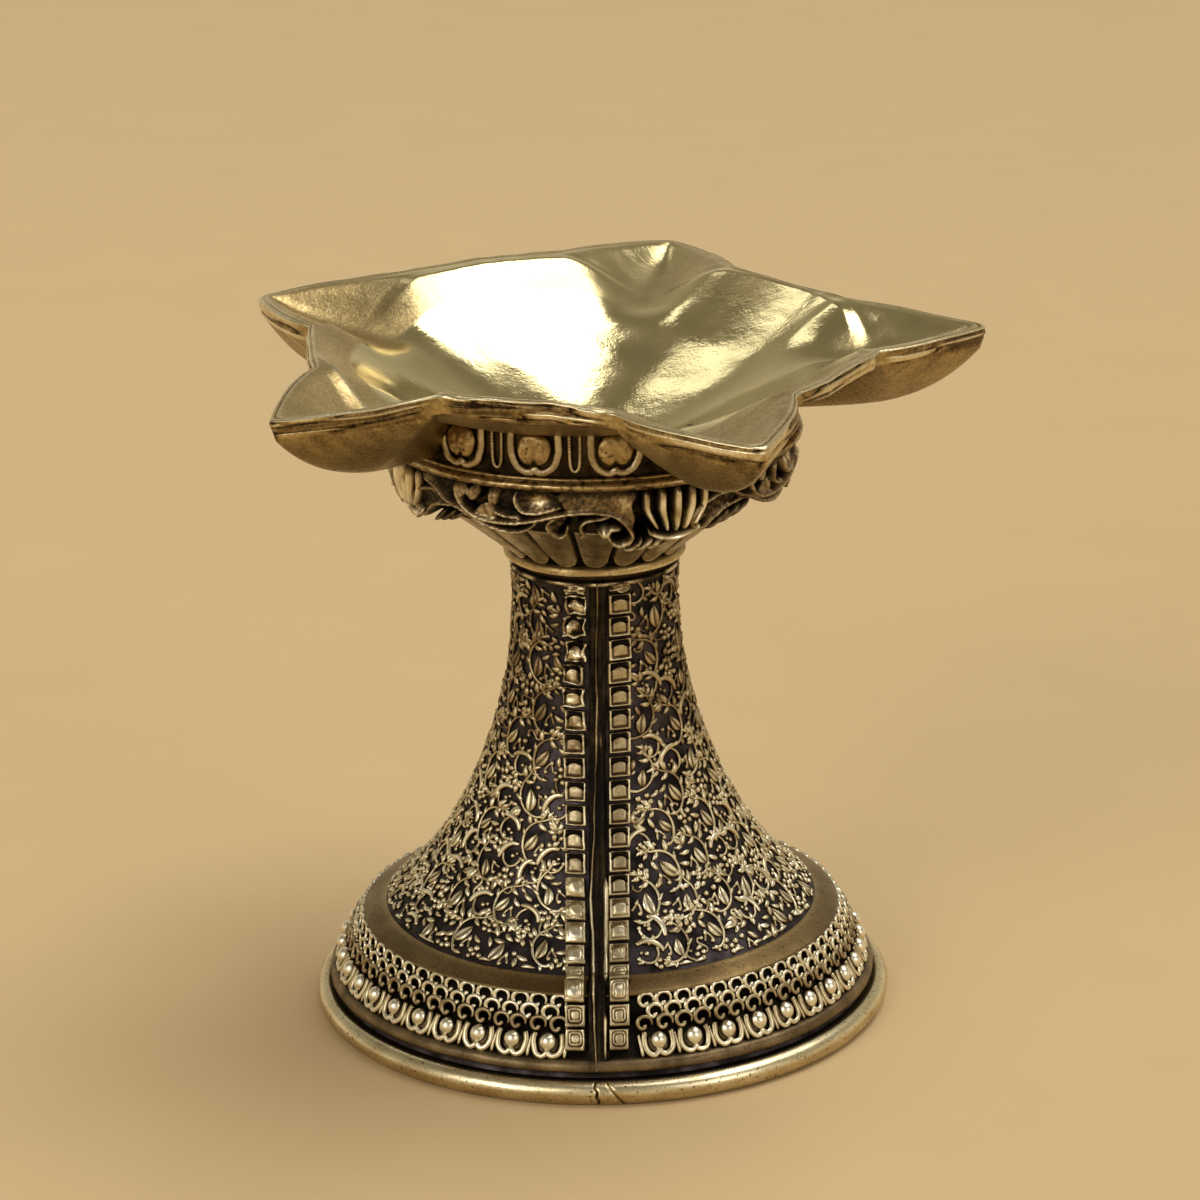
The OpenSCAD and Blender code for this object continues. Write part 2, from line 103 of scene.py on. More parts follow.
def smoothPath(points, count, closed=False):
    # Catmull-Rom curve through the points
    p = np.asarray(points, float)
    n = len(p)
    t = np.linspace(0, n if closed else n - 1, count, endpoint=not closed)
    i = np.minimum(t.astype(int), n - 1 if closed else n - 2)
    f = (t - i)[:, None]

    def pick(k):
        return p[k % n] if closed else p[np.clip(k, 0, n - 1)]

    a, b, c, d = pick(i - 1), pick(i), pick(i + 1), pick(i + 2)
    bend = (2 * a - 5 * b + 4 * c - d) * f ** 2
    return 0.5 * (2 * b + (c - a) * f + bend + (3 * b - a - 3 * c + d) * f ** 3)


def gridFaces(rows, cols, wrapRows=False, wrapCols=False):
    i = np.arange(rows if wrapRows else rows - 1)[:, None]
    j = np.arange(cols if wrapCols else cols - 1)[None, :]
    nextRow, nextCol = (i + 1) % rows, (j + 1) % cols
    corners = [i * cols + j, i * cols + nextCol, nextRow * cols + nextCol, nextRow * cols + j]
    return np.stack(corners, -1).reshape(-1, 4).tolist()


class Casting:
    # gathers closed shapes, with how bright each point is drawn (relief: rubbed wear, and in places painted
    # highlight and painted shade) and how far it was buffed (polish)
    def __init__(self):
        self.verts, self.faces, self.relief, self.polish, self.count = [], [], [], [], 0

    def add(self, verts, faces, relief, polish=0.0):
        n = self.count
        self.verts.append(np.asarray(verts, float))
        self.faces.extend([[i + n for i in f] for f in faces])
        self.relief.append(np.broadcast_to(np.asarray(relief, float), len(verts)))
        self.polish.append(np.broadcast_to(np.asarray(polish, float), len(verts)))
        self.count += len(verts)


def railOf(points):
    # a profile of (radius, height) points, walked by its length; gives radius, height and outward normal
    p = np.asarray(points, float)
    walked = np.concatenate([[0], np.cumsum(np.hypot(*np.diff(p, axis=0).T))])
    reach = 0.2

    def at(s):
        ahead, back = np.clip(s + reach, 0, walked[-1]), np.clip(s - reach, 0, walked[-1])
        dr = np.interp(ahead, walked, p[:, 0]) - np.interp(back, walked, p[:, 0])
        dz = np.interp(ahead, walked, p[:, 1]) - np.interp(back, walked, p[:, 1])
        size = np.hypot(dr, dz) + tiny
        return np.interp(s, walked, p[:, 0]), np.interp(s, walked, p[:, 1]), dz / size, -dr / size
    return at, walked[-1]


def wrap(rail, angle, s, h):
    r, z, nr, nz = rail(s)
    return roundAxis(r + nr * h, angle, z + nz * h)


def lay(rail, flat, angle, s):
    # puts a flat shape (along, up, out) on a surface of revolution, keeping its size
    y = s + flat[:, 1]
    return wrap(rail, angle + np.degrees(flat[:, 0] / rail(y)[0]), y, flat[:, 2])


# flat shapes: points as (along, up, out) in mm, with faces
def tube(path, radius, lift=0.0, sides=6, rise=1.0):
    path = np.asarray(path, float)
    n = len(path)
    radius = np.broadcast_to(radius, n)
    step = np.gradient(path, axis=0)
    step /= np.linalg.norm(step, axis=1)[:, None] + tiny
    side = np.stack([-step[:, 1], step[:, 0]], 1)
    turn = np.arange(sides) * 2 * np.pi / sides
    flat = path[:, None, :] + side[:, None, :] * (radius[:, None] * np.cos(turn))[:, :, None]
    out = lift + rise * radius[:, None] * np.sin(turn)
    verts = np.concatenate([flat, out[:, :, None]], -1).reshape(-1, 3)
    ends = [list(range(sides)), list(range((n - 1) * sides, n * sides))]
    return verts, gridFaces(n, sides, wrapCols=True) + ends


def ball(centre, radius, rise=1.0):
    # a berry: three rings and a tip, closed underneath
    sides = 8
    turn = np.arange(sides) * 2 * np.pi / sides
    rings = []
    for latitude in np.radians([58, 22, -28]):
        wide, out = radius * math.cos(latitude), rise * radius * math.sin(latitude)
        rings.append(np.stack([centre[0] + wide * np.cos(turn), centre[1] + wide * np.sin(turn),
                               np.full(sides, out)], 1))
    verts = np.concatenate(rings + [[[centre[0], centre[1], rise * radius]]])
    tip = len(verts) - 1
    faces = gridFaces(len(rings), sides, wrapCols=True)
    faces += [[tip, k, (k + 1) % sides] for k in range(sides)] + [list(range(2 * sides, 3 * sides))]
    return verts, faces


def leaf(start, end, width, rise, bend=0.0, vein=0.5, along=7, across=5):
    # a pointed leaf with a groove down its middle
    start, end = np.asarray(start, float), np.asarray(end, float)
    run = end - start
    side = np.array([-run[1], run[0]]) / (np.linalg.norm(run) + tiny)
    t = np.linspace(0, 1, along)
    middle = start + run * t[:, None] + side * (bend * np.sin(np.pi * t))[:, None]
    half = width / 2 * (0.12 + 0.88 * np.sin(np.pi * t ** 0.8) ** 0.8)
    w = np.linspace(-1, 1, across)
    flat = middle[:, None, :] + side * (half[:, None] * w)[:, :, None]
    body = np.sqrt(np.clip(1 - w ** 2, 0, 1)) - vein * peak(w, 0, 0.24)
    out = rise * body * (0.45 + 0.55 * np.sin(np.pi * np.clip(t, 0.05, 0.95)))[:, None]
    out[:, 0] = out[:, -1] = -0.08
    verts = np.concatenate([flat, out[:, :, None]], -1).reshape(-1, 3)
    faces = gridFaces(along, across)
    for k in range(along - 1):
        here, after = k * across, (k + 1) * across
        faces.append([here, after, after + across - 1, here + across - 1])
    faces += [list(range(across)), list(range((along - 1) * across, along * across))]
    return verts, faces


def dome(outline, rise, rings=6, power=2.4, under=-0.15, centre=None):
    outline = np.asarray(outline, float)
    n = len(outline)
    centre = outline.mean(0) if centre is None else np.asarray(centre, float)
    t = np.linspace(1, 0, rings, endpoint=False)
    flat = centre + (outline - centre) * t[:, None, None]
    out = np.repeat((rise * np.sqrt(np.clip(1 - t ** power, 0, 1)))[:, None], n, 1)
    out[0] = under
    verts = np.concatenate([np.concatenate([flat, out[:, :, None]], -1).reshape(-1, 3), [[*centre, rise]]])
    last = rings * n
    faces = gridFaces(rings, n, wrapCols=True) + [list(range(n))]
    faces += [[last, (rings - 1) * n + k, (rings - 1) * n + (k + 1) % n] for k in range(n)]
    return verts, faces


def patch(xs, ys, out, under=-0.3):
    # a raised pad: a grid of heights, closed underneath
    rows, cols = len(ys), len(xs)
    gx, gy = np.meshgrid(xs, ys)
    verts = np.stack([gx, gy, out], -1).reshape(-1, 3)
    right = [k * cols + cols - 1 for k in range(1, rows)]
    upper = [(rows - 1) * cols + k for k in range(cols - 2, -1, -1)]
    left = [k * cols for k in range(rows - 2, 0, -1)]
    edge = [*range(cols), *right, *upper, *left]
    below = verts[edge].copy()
    below[:, 2] = under
    n, m = rows * cols, len(edge)
    sides = [[edge[k], edge[(k + 1) % m], n + (k + 1) % m, n + k] for k in range(m)]
    return np.concatenate([verts, below]), gridFaces(rows, cols) + sides + [list(range(n, n + m))]


def overPatch(bright, verts):
    # brightness of a patch: its face as given, its underside dark
    return np.concatenate([bright.reshape(-1), np.zeros(len(verts) - bright.size)])


def lathe(casting, loop, angles, relief, push=None):
    # a closed profile turned round the axis; push(radius, height, angle) moves points out
    loop, angles = np.asarray(loop, float), np.asarray(angles, float)
    r, a = np.meshgrid(loop[:, 0], angles)
    z = np.meshgrid(loop[:, 1], angles)[0]
    bright = np.broadcast_to(relief(r, z, a) if callable(relief) else relief, r.shape).reshape(-1)
    if push is not None:
        r = r + push(r, z, a)
    verts = roundAxis(r, a, z).reshape(-1, 3)
    casting.add(verts, gridFaces(len(angles), len(loop), True, True), bright)


def nearPath(x, y, path):
    # distance from points to a polyline, and the share of its length at the nearest place
    best, share = np.full(x.shape, 1e9), np.zeros(x.shape)
    for k, (p, q) in enumerate(zip(path[:-1], path[1:])):
        d = q - p
        t = np.clip(((x - p[0]) * d[0] + (y - p[1]) * d[1]) / (d @ d + 1e-12), 0, 1)
        gap = np.hypot(x - p[0] - t * d[0], y - p[1] - t * d[1])
        share = np.where(gap < best, (k + t) / (len(path) - 1), share)
        best = np.minimum(best, gap)
    return best, share


def outsideOf(x, y, outline):
    # signed distance to a closed outline, negative inside
    gap = nearPath(x, y, np.concatenate([outline, outline[:1]]))[0]
    inside = np.zeros(x.shape, bool)
    for p, q in zip(outline, np.roll(outline, -1, 0)):
        crosses = (p[1] > y) != (q[1] > y)
        inside ^= crosses & (x < (q[0] - p[0]) * (y - p[1]) / (q[1] - p[1] + 1e-12) + p[0])
    return np.where(inside, -gap, gap)


# materials
noiseKind, mathKind, rampKind = "ShaderNodeTexNoise", "ShaderNodeMath", "ShaderNodeValToRGB"
mixKind, bumpKind, layerKind = "ShaderNodeMix", "ShaderNodeBump", "ShaderNodeAttribute"


def linearOf(code):
    parts = [int(code[i:i + 2], 16) / 255 for i in (1, 3, 5)]
    return (*[c / 12.92 if c <= 0.04045 else ((c + 0.055) / 1.055) ** 2.4 for c in parts], 1.0)


def addNode(tree, kind, inputs=None, stops=None, **settings):
    # one node with its settings, inputs (a value or a socket to link) and, for a ramp, its stops
    node = tree.nodes.new(kind)
    for key, value in settings.items():
        setattr(node, key, value)
    for key, value in (inputs or {}).items():
        if isinstance(value, bpy.types.NodeSocket):
            tree.links.new(value, node.inputs[key])
        else:
            node.inputs[key].default_value = value
    for k, (where, colour) in enumerate(stops or []):
        element = node.color_ramp.elements[k] if k < 2 else node.color_ramp.elements.new(where)
        element.position = where
        element.color = linearOf(colour) if isinstance(colour, str) else (colour, colour, colour, 1)
    return node


def newMetal(name):
    material = bpy.data.materials.new(name)
    material.use_nodes = True
    tree = material.node_tree
    shader = tree.nodes["Principled BSDF"]
    shader.inputs["Metallic"].default_value = 1.0
    place = addNode(tree, "ShaderNodeTexCoord").outputs["Object"]
    return material, tree, shader, place


def dressShader(tree, shader, colour, rough, normal):
    for socket, source in (("Base Color", colour), ("Roughness", rough), ("Normal", normal)):
        tree.links.new(source, shader.inputs[socket])


def perMm(size):
    return 1.0 / (size * mm)     # texture scale for features of this size in mm


# colours, and sizes of the patterns in mm; real casting grit is nearer 0.1 mm and too fine to show, so every
# grit below is drawn three to five times as coarse
antique = {"ground": "#1c1917", "hollow": "#3e3426", "side": "#887558", "high": "#d1c6a6",
           "rubbed": "#f3eede", "stain": 2.5, "grit": 0.35}


def antiquedBrass():
    # cast brass, blackened and then rubbed back: near-black hollows, brown sides and pale rubbed tops
    material, tree, shader, place = newMetal("antiquedBrassRubbed")
    relief = addNode(tree, layerKind, attribute_name="relief").outputs["Fac"]
    stain = addNode(tree, noiseKind, {"Vector": place, "Scale": perMm(antique["stain"]), "Detail": 4.0})
    grit = addNode(tree, noiseKind, {"Vector": place, "Scale": perMm(antique["grit"]),
                                     "Detail": 2.0}).outputs["Fac"]
    patchy = addNode(tree, mathKind, {0: stain.outputs["Fac"], 1: 0.36, 2: -0.29}, operation="MULTIPLY_ADD")
    patchy = addNode(tree, mathKind, {0: grit, 1: 0.22, 2: patchy.outputs[0]}, operation="MULTIPLY_ADD")
    worn = addNode(tree, mathKind, {0: relief, 1: patchy.outputs[0]}, operation="ADD",
                   use_clamp=True).outputs[0]
    colour = addNode(tree, rampKind, {"Fac": worn}, [
        (0.05, antique["ground"]), (0.25, antique["hollow"]), (0.5, antique["side"]),
        (0.76, antique["high"]), (1.0, antique["rubbed"])])
    dull = addNode(tree, rampKind, {"Fac": worn}, [(0.1, 0.6), (0.5, 0.42), (1.0, 0.29)])
    bump = addNode(tree, bumpKind, {"Height": grit, "Strength": 0.3, "Distance": 0.05 * mm})
    dressShader(tree, shader, colour.outputs["Color"], dull.outputs["Color"], bump.outputs["Normal"])
    return material


oxide = {"flare": ("oxidisedBrassGrey", "#211e1e", "#474044"),
         "hollow": ("oxidisedBrassBrown", "#1d1712", "#403320"), "cloud": 3.0, "grit": 0.3}


def oxidisedBrass(name, dark, sheen):
    # blackened brass left in the recesses: a dark film with a dull metal sheen
    material, tree, shader, place = newMetal(name)
    cloud = addNode(tree, noiseKind, {"Vector": place, "Scale": perMm(oxide["cloud"]),
                                      "Detail": 5.0}).outputs["Fac"]
    grit = addNode(tree, noiseKind, {"Vector": place, "Scale": perMm(oxide["grit"]),
                                     "Detail": 2.0}).outputs["Fac"]
    colour = addNode(tree, rampKind, {"Fac": cloud}, [(0.36, dark), (0.68, sheen)])
    dull = addNode(tree, rampKind, {"Fac": cloud}, [(0.3, 0.62), (0.7, 0.42)])
    bump = addNode(tree, bumpKind, {"Height": grit, "Strength": 0.4, "Distance": 0.06 * mm})
    dressShader(tree, shader, colour.outputs["Color"], dull.outputs["Color"], bump.outputs["Normal"])
    return material


satin = {"pore": "#3b2f20", "brown": "#786443", "brass": "#ad966a", "worn": "#e8dfc0",
         "film": 6.0, "grit": 0.4}


def satinBrass():
    # tumbled cast brass: warm satin metal with dark pores, brown film in the low places and bright edges
    material, tree, shader, place = newMetal("satinCastBrass")
    relief = addNode(tree, layerKind, attribute_name="relief").outputs["Fac"]
    film = addNode(tree, noiseKind, {"Vector": place, "Scale": perMm(satin["film"]),
                                     "Detail": 5.0}).outputs["Fac"]
    grit = addNode(tree, noiseKind, {"Vector": place, "Scale": perMm(satin["grit"]),
                                     "Detail": 3.0}).outputs["Fac"]
    pores = addNode(tree, noiseKind, {"Vector": place, "Scale": perMm(satin["grit"]),
                                      "Detail": 1.0}).outputs["Fac"]
    shade = addNode(tree, mathKind, {0: film, 1: 0.4, 2: -0.33}, operation="MULTIPLY_ADD").outputs[0]
    shade = addNode(tree, mathKind, {0: grit, 1: 0.26, 2: shade}, operation="MULTIPLY_ADD").outputs[0]
    worn = addNode(tree, mathKind, {0: relief, 1: shade}, operation="ADD", use_clamp=True).outputs[0]
    colour = addNode(tree, rampKind, {"Fac": worn}, [
        (0.05, satin["pore"]), (0.34, satin["brown"]), (0.66, satin["brass"]), (1.0, satin["worn"])])
    pit = addNode(tree, rampKind, {"Fac": pores}, [(0.27, 1.0), (0.33, 0.0)])
    mixed = addNode(tree, mixKind, {"Factor": pit.outputs["Color"], "A": colour.outputs["Color"],
                                    "B": linearOf(satin["pore"])}, data_type="RGBA")
    dull = addNode(tree, rampKind, {"Fac": worn}, [(0.1, 0.52), (0.6, 0.37), (1.0, 0.27)])
    bump = addNode(tree, bumpKind, {"Height": grit, "Strength": 0.3, "Distance": 0.06 * mm})
    dressShader(tree, shader, mixed.outputs["Result"], dull.outputs["Color"], bump.outputs["Normal"])
    return material


buffed = {"mirror": "#d6cb9d", "satin": "#b19b6c", "groove": "#2a2118",
          "cloud": 5.0, "dents": 2.2, "grit": 0.45}


def buffedBrass():
    # brass bowl buffed on a wheel: a pale greenish-gold mirror with fine waver, satin beyond the buffed dish
    material, tree, shader, place = newMetal("buffedCastBrass")
    relief = addNode(tree, layerKind, attribute_name="relief").outputs["Fac"]
    polish = addNode(tree, layerKind, attribute_name="polish").outputs["Fac"]
    cloud = addNode(tree, noiseKind, {"Vector": place, "Scale": perMm(buffed["cloud"]),
                                      "Detail": 5.0}).outputs["Fac"]
    dents = addNode(tree, noiseKind, {"Vector": place, "Scale": perMm(buffed["dents"]),
                                      "Detail": 3.0}).outputs["Fac"]
    grit = addNode(tree, noiseKind, {"Vector": place, "Scale": perMm(buffed["grit"]),
                                     "Detail": 3.0}).outputs["Fac"]
    shade = addNode(tree, mathKind, {0: cloud, 1: 0.3, 2: -0.45}, operation="MULTIPLY_ADD").outputs[0]
    shade = addNode(tree, mathKind, {0: grit, 1: 0.56, 2: shade}, operation="MULTIPLY_ADD").outputs[0]
    worn = addNode(tree, mathKind, {0: relief, 1: shade}, operation="ADD", use_clamp=True).outputs[0]
    cast = addNode(tree, rampKind, {"Fac": worn}, [
        (0.06, buffed["groove"]), (0.34, satin["brown"]), (0.62, buffed["satin"]), (1.0, satin["worn"])])
    mixed = addNode(tree, mixKind, {"Factor": polish, "A": cast.outputs["Color"],
                                    "B": linearOf(buffed["mirror"])}, data_type="RGBA")
    dull = addNode(tree, rampKind, {"Fac": worn}, [(0.1, 0.55), (0.6, 0.38), (1.0, 0.26)])
    gloss = addNode(tree, rampKind, {"Fac": cloud}, [(0.35, 0.08), (0.7, 0.17)])
    rough = addNode(tree, mixKind, {"Factor": polish, "A": dull.outputs["Color"],
                                    "B": gloss.outputs["Color"]}, data_type="RGBA")
    waver = addNode(tree, mathKind, {0: dents, 1: 3.0, 2: grit}, operation="MULTIPLY_ADD").outputs[0]
    strength = addNode(tree, mathKind, {0: polish, 1: -0.27, 2: 0.45}, operation="MULTIPLY_ADD").outputs[0]
    bump = addNode(tree, bumpKind, {"Height": waver, "Strength": strength, "Distance": 0.08 * mm})
    dressShader(tree, shader, mixed.outputs["Result"], rough.outputs["Result"], bump.outputs["Normal"])
    return material


antiqueMetal, satinMetal, buffedMetal = antiquedBrass(), satinBrass(), buffedBrass()
flareGround, hollowGround = oxidisedBrass(*oxide["flare"]), oxidisedBrass(*oxide["hollow"])
print("materials made")


def makePiece(name, casting, body, slot, material, *replaced):
    mesh = bpy.data.meshes.new(name)
    mesh.from_pydata((np.concatenate(casting.verts) * mm).tolist(), [], casting.faces)
    for layer, values in (("relief", casting.relief), ("polish", casting.polish)):
        mesh.attributes.new(layer, "FLOAT", "POINT").data.foreach_set("value", np.concatenate(values))
    bm = bmesh.new()
    bm.from_mesh(mesh)
    bmesh.ops.recalc_face_normals(bm, faces=bm.faces)
    bm.to_mesh(mesh)
    bm.free()
    mesh.polygons.foreach_set("use_smooth", [True] * len(mesh.polygons))
    mesh.materials.append(material)
    piece = bpy.data.objects.new(name, mesh)
    bpy.context.collection.objects.link(piece)
    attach(piece, body)
    if replaced:
        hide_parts(*replaced)
    print(name, len(mesh.vertices), "points")


# surfaces the ornament lies on, the same curves as the solids
pedestal = {"neck": 11.5, "flare": 31.1, "neckDrop": 4.5, "share": 0.85, "turn": 9,
            "drum": 38.9, "taper": 5.2, "strip": 0.9}


def drumSide(z):
    return pedestal["drum"] - pedestal["taper"] * (z - zFoot) / (zDrum - zFoot)


def flareSide(z):
    narrow = zNeck - pedestal["neckDrop"]
    s = np.abs(narrow - z) / (narrow - zFlare)
    curve = pedestal["share"] * s ** 2 + (1 - pedestal["share"]) * s ** pedestal["turn"]
    return pedestal["neck"] + (pedestal["flare"] - pedestal["neck"]) * curve


def stripRail(zLow, zHigh, thick):
    return railOf([[drumSide(zLow) + thick, zLow], [drumSide(zHigh) + thick, zHigh]])


flareHeights = np.linspace(zFlare, zNeck, 90)
flarePoints = np.stack([flareSide(flareHeights), flareHeights], 1)
flareRail, flareLength = railOf(flarePoints)
roundUp = np.radians(np.linspace(0, 90, 9))
mouldingOut = drumSide(zDrum) + pedestal["strip"] - pedestal["flare"]
mouldingSide = np.stack([pedestal["flare"] + mouldingOut * np.cos(roundUp),
                         zDrum + (zFlare - zDrum) * np.sin(roundUp)], 1)
stripFoot = [[drumSide(zPetal) + pedestal["strip"], zPetal]]
faceRail, faceLength = railOf(np.concatenate([stripFoot, mouldingSide[:-1], flarePoints]))
everyDegree = np.arange(0, 360, 1.0)

# filigree on the flare: cast stems, leaves, curls and berries packed close on a dark ground
filigree = {"stem": 0.3, "rise": 0.46, "berry": 0.5, "plump": 1.22, "seamHalf": 4.7, "closeness": 0.74,
            "fillerGap": 0.62, "fillerStep": 1.45, "footLeaf": 0.68, "footStep": 3.9, "edge": 11.2}


def arc(centre, radius, start, end, count):
    t = np.radians(np.linspace(start, end, count))
    return np.stack([centre[0] + radius * np.cos(t), centre[1] + radius * np.sin(t)], 1)


def stemOf(points, count, thin0, thin1):
    return tube(smoothPath(points, count), np.linspace(thin0, thin1, count), 0.08)


def leafOf(gen, start, end, width, bend=0.0, vein=0.45, **more):
    size = gen.uniform(0.92, 1.12)
    end = np.asarray(start, float) + (np.asarray(end, float) - np.asarray(start, float)) * size
    rise = filigree["rise"] * gen.uniform(0.95, 1.25)
    return leaf(start, end, width * size * filigree["plump"], rise, bend, vein, **more)


def branch(gen):
    # hooked twig: paired leaves along its upper arm, a veined leaf and a small curl inside the hook
    t = filigree["stem"]
    twig = [(1.3, 4.3), (0.3, 3.1), (-0.9, 2.25), (-1.6, 1.2), (-1.8, 0.0), (-1.3, -1.5), (-0.3, -2.55),
            (0.6, -3.0), (1.5, -2.95)]
    parts = [stemOf(twig, 26, t * 0.7, t)]
    small = (((-0.5, 2.7), (-0.15, 4.6), 0.95, 0.1), ((-0.6, 2.4), (0.9, 1.85), 0.8, -0.1),
             ((0.7, 3.6), (2.2, 3.75), 0.6, 0.1), ((0.6, 3.3), (1.8, 2.75), 0.6, -0.1),
             ((0.4, 3.3), (0.7, 4.6), 0.6, 0.1), ((-1.5, 1.5), (-2.3, 3.0), 0.85, 0.15),
             ((0.1, -2.8), (0.45, -3.9), 0.6, 0.0), ((-1.6, -0.4), (-2.5, 0.9), 0.65, -0.1))
    for start, end, width, bend in small:
        parts.append(leafOf(gen, start, end, width, bend, 0.2))
    parts.append(leafOf(gen, (-0.7, -2.0), (0.0, 0.9), 1.55, -0.2, 0.65, along=9, across=7))
    parts.append(leafOf(gen, (0.9, -3.0), (2.2, -2.65), 0.75, 0.0, 0.0))
    curl = [(2.2, -1.3), (1.7, -0.7), (1.25, -0.35), (0.95, -1.0), (0.95, -1.7)]
    parts += [stemOf(curl, 12, t * 0.7, t * 0.75), ball((1.15, -1.75), 0.42)]
    parts.append(leafOf(gen, (1.6, -0.7), (1.2, 0.25), 0.6, 0.0, 0.0))
    return parts


def leafCurl(gen):
    # fat curled leaf over a hooked stem, with a pair of berries in the hook
    count = 14
    crest = smoothPath([(-2.1, 0.0), (-1.5, 0.8), (-0.6, 1.4), (0.5, 1.6), (1.5, 1.2)], count)
    swell = 0.2 + 0.32 * np.sin(np.pi * np.linspace(0.05, 0.9, count)) ** 0.8
    hook = [(-1.2, 0.7), (-1.2, -0.5), (-0.5, -1.5), (0.6, -1.6), (1.5, -1.0)]
    parts = [tube(crest, swell, 0.06, 6, 0.95), ball((0.35, -0.2), 0.42), ball((1.05, -0.05), 0.34)]
    parts += [stemOf(hook, count, 0.24, 0.27), ball((1.55, -0.9), 0.4)]
    parts.append(leafOf(gen, (-0.5, -1.5), (-0.7, -2.5), 0.6, 0.0, 0.2))
    for start, end in (((-0.8, 1.4), (-0.9, 2.4)), ((0.3, 1.7), (0.5, 2.6))):
        parts.append(leafOf(gen, start, end, 0.7, 0.1, 0.2))
    return parts


def rosette(gen):
    # six berries in a ring on an S-shaped tail
    spots = ((-0.95, 0.6), (-0.1, 0.05), (0.4, 0.95), (0.9, -0.05), (-0.9, -0.4), (0.0, -0.8))
    parts = [ball(spot, filigree["berry"] * gen.uniform(0.9, 1.15), 0.95) for spot in spots]
    tail = [(0.2, -0.9), (1.3, -1.35), (2.1, -1.25), (2.3, -0.6), (1.9, -0.2)]
    return parts + [stemOf(tail, 13, 0.2, 0.2), ball((1.95, -0.25), 0.34)]


def berryCluster(gen):
    # loose drops, each a little longer than wide
    parts = []
    for spot in ((-0.25, 1.0), (-1.05, 0.2), (0.05, 0.1), (1.0, 0.5), (-0.8, -0.75), (0.75, -0.6)):
        a = math.radians(gen.uniform(20, 110))
        run = 0.6 * np.array([math.cos(a), math.sin(a)])
        parts.append(leafOf(gen, np.array(spot) - run, np.array(spot) + run, 0.82, 0.0, 0.0))
    return parts


def leafPair(gen):
    return [leafOf(gen, (-0.4, -1.0), (0.5, 1.1), 1.15, 0.2, 0.5),
            leafOf(gen, (-0.4, -1.0), (-1.2, 0.5), 0.85, 0.1, 0.2),
            leafOf(gen, (-0.2, -1.0), (1.1, -0.5), 0.75, -0.1, 0.2)]


def smallHook(gen):
    points = [(-1.15, 0.15), (-1.0, 0.8), (-0.35, 0.8), (0.0, 0.1), (0.35, -0.6), (1.0, -0.6), (1.15, 0.05)]
    path = smoothPath(points, 17)
    return [tube(path, 0.24, 0.06), ball(path[0], 0.4), ball(path[-1], 0.4),
            leafOf(gen, (0.1, 0.15), (1.0, 1.1), 0.8, 0.1, 0.2)]


# what is packed, largest first: how far it reaches, how often a place is tried, how far it may be turned
motifs = ((branch, 3.3, 1500, 35), (leafCurl, 2.05, 2500, 60), (rosette, 1.65, 3500, 80),
          (berryCluster, 1.4, 4500, 90), (leafPair, 1.15, 5000, 180), (smallHook, 1.1, 5000, 90))


def fromSeam(angle):
    return (angle - seamAngle + 180) % 360 - 180


def makeFiligree():
    casting, gen = Casting(), np.random.default_rng(5)
    spots = []

    def put(parts, angle, s, flip, degrees, size=1.0):
        c, k = math.cos(math.radians(degrees)), math.sin(math.radians(degrees))
        for verts, faces in parts:
            x, y = verts[:, 0] * flip * size, verts[:, 1] * size
            flat = np.stack([x * c - y * k, x * k + y * c, verts[:, 2]], 1)
            reach = s + flat[:, 1]
            r = float(flareRail(s)[0])
            away = abs(fromSeam(angle) * math.pi / 180 * r + flat[:, 0].mean())
            if away < filigree["seamHalf"] or reach.min() < 0.2 or reach.max() > flareLength - 0.35:
                continue
            placed = lay(flareRail, flat, angle, s)
            fade = 1.0 - 0.32 * float(smooth(0.3, 0.75, s / flareLength))     # rubbed less high on the stem
            glow = gen.uniform(0.74, 1.0) * fade
            casting.add(placed, faces, glow * smooth(-0.02, 0.4, flat[:, 2]))
            spots.append(placed)

    packMotifs(gen, put)
    fillBareGround(gen, put, np.concatenate(spots))
    layFootLeaves(gen, put)
    addCastEdge(casting)
    makePiece("flareFiligree", casting, "pedestal", "antique_brass", antiqueMetal)


def packMotifs(gen, put):
    centres, reaches = [], []
    ss = np.linspace(0, flareLength, 400)
    share = np.cumsum(flareRail(ss)[0])
    share = share / share[-1]
    for make, reach, tries, sway in motifs:
        for _ in range(tries):
            s = float(np.interp(gen.random(), share, ss))
            angle = gen.uniform(0, 360)
            away = abs(math.radians(fromSeam(angle))) * float(flareRail(s)[0])
            if away < filigree["seamHalf"] + 0.4 * reach or s < 0.55 * reach or s > flareLength - 0.5 * reach:
                continue
            here = wrap(flareRail, angle, s, 0.0)
            if centres:
                gaps = np.linalg.norm(np.array(centres) - here, axis=1)
                if np.any(gaps < filigree["closeness"] * (np.array(reaches) + reach)):
                    continue
            centres.append(here)
            reaches.append(reach)
            flip = -1 if fromSeam(angle) > 0 else 1
            put(make(gen), angle, s, flip, gen.uniform(-sway, sway), gen.uniform(0.92, 1.05))


def fillBareGround(gen, put, cloud):
    # dots and small leaves in what is still bare
    tree = KDTree(len(cloud))
    for n, co in enumerate(cloud):
        tree.insert(co, n)
    tree.balance()
    grid, remembered = 0.5, 260
    taken = [Vector((0, 0, 0))]
    for s in np.arange(grid, flareLength - grid, grid):
        r = float(flareRail(s)[0])
        for a in np.arange(0, 360, math.degrees(grid / r)):
            spot = Vector(wrap(flareRail, a, s, 0.15))
            if tree.find(spot)[2] < filigree["fillerGap"]:
                continue
            if min((spot - q).length for q in taken[-remembered:]) < filigree["fillerStep"]:
                continue
            taken.append(spot)
            if gen.random() < 0.2:
                filler = ball((0, 0), gen.uniform(0.42, 0.54))
            else:
                filler = leafOf(gen, (0, -0.85), (0, 0.9), 0.8, 0.12, 0.15)
            put([filler], a, s, 1, gen.uniform(0, 180) if s > 1.3 else gen.uniform(75, 105))


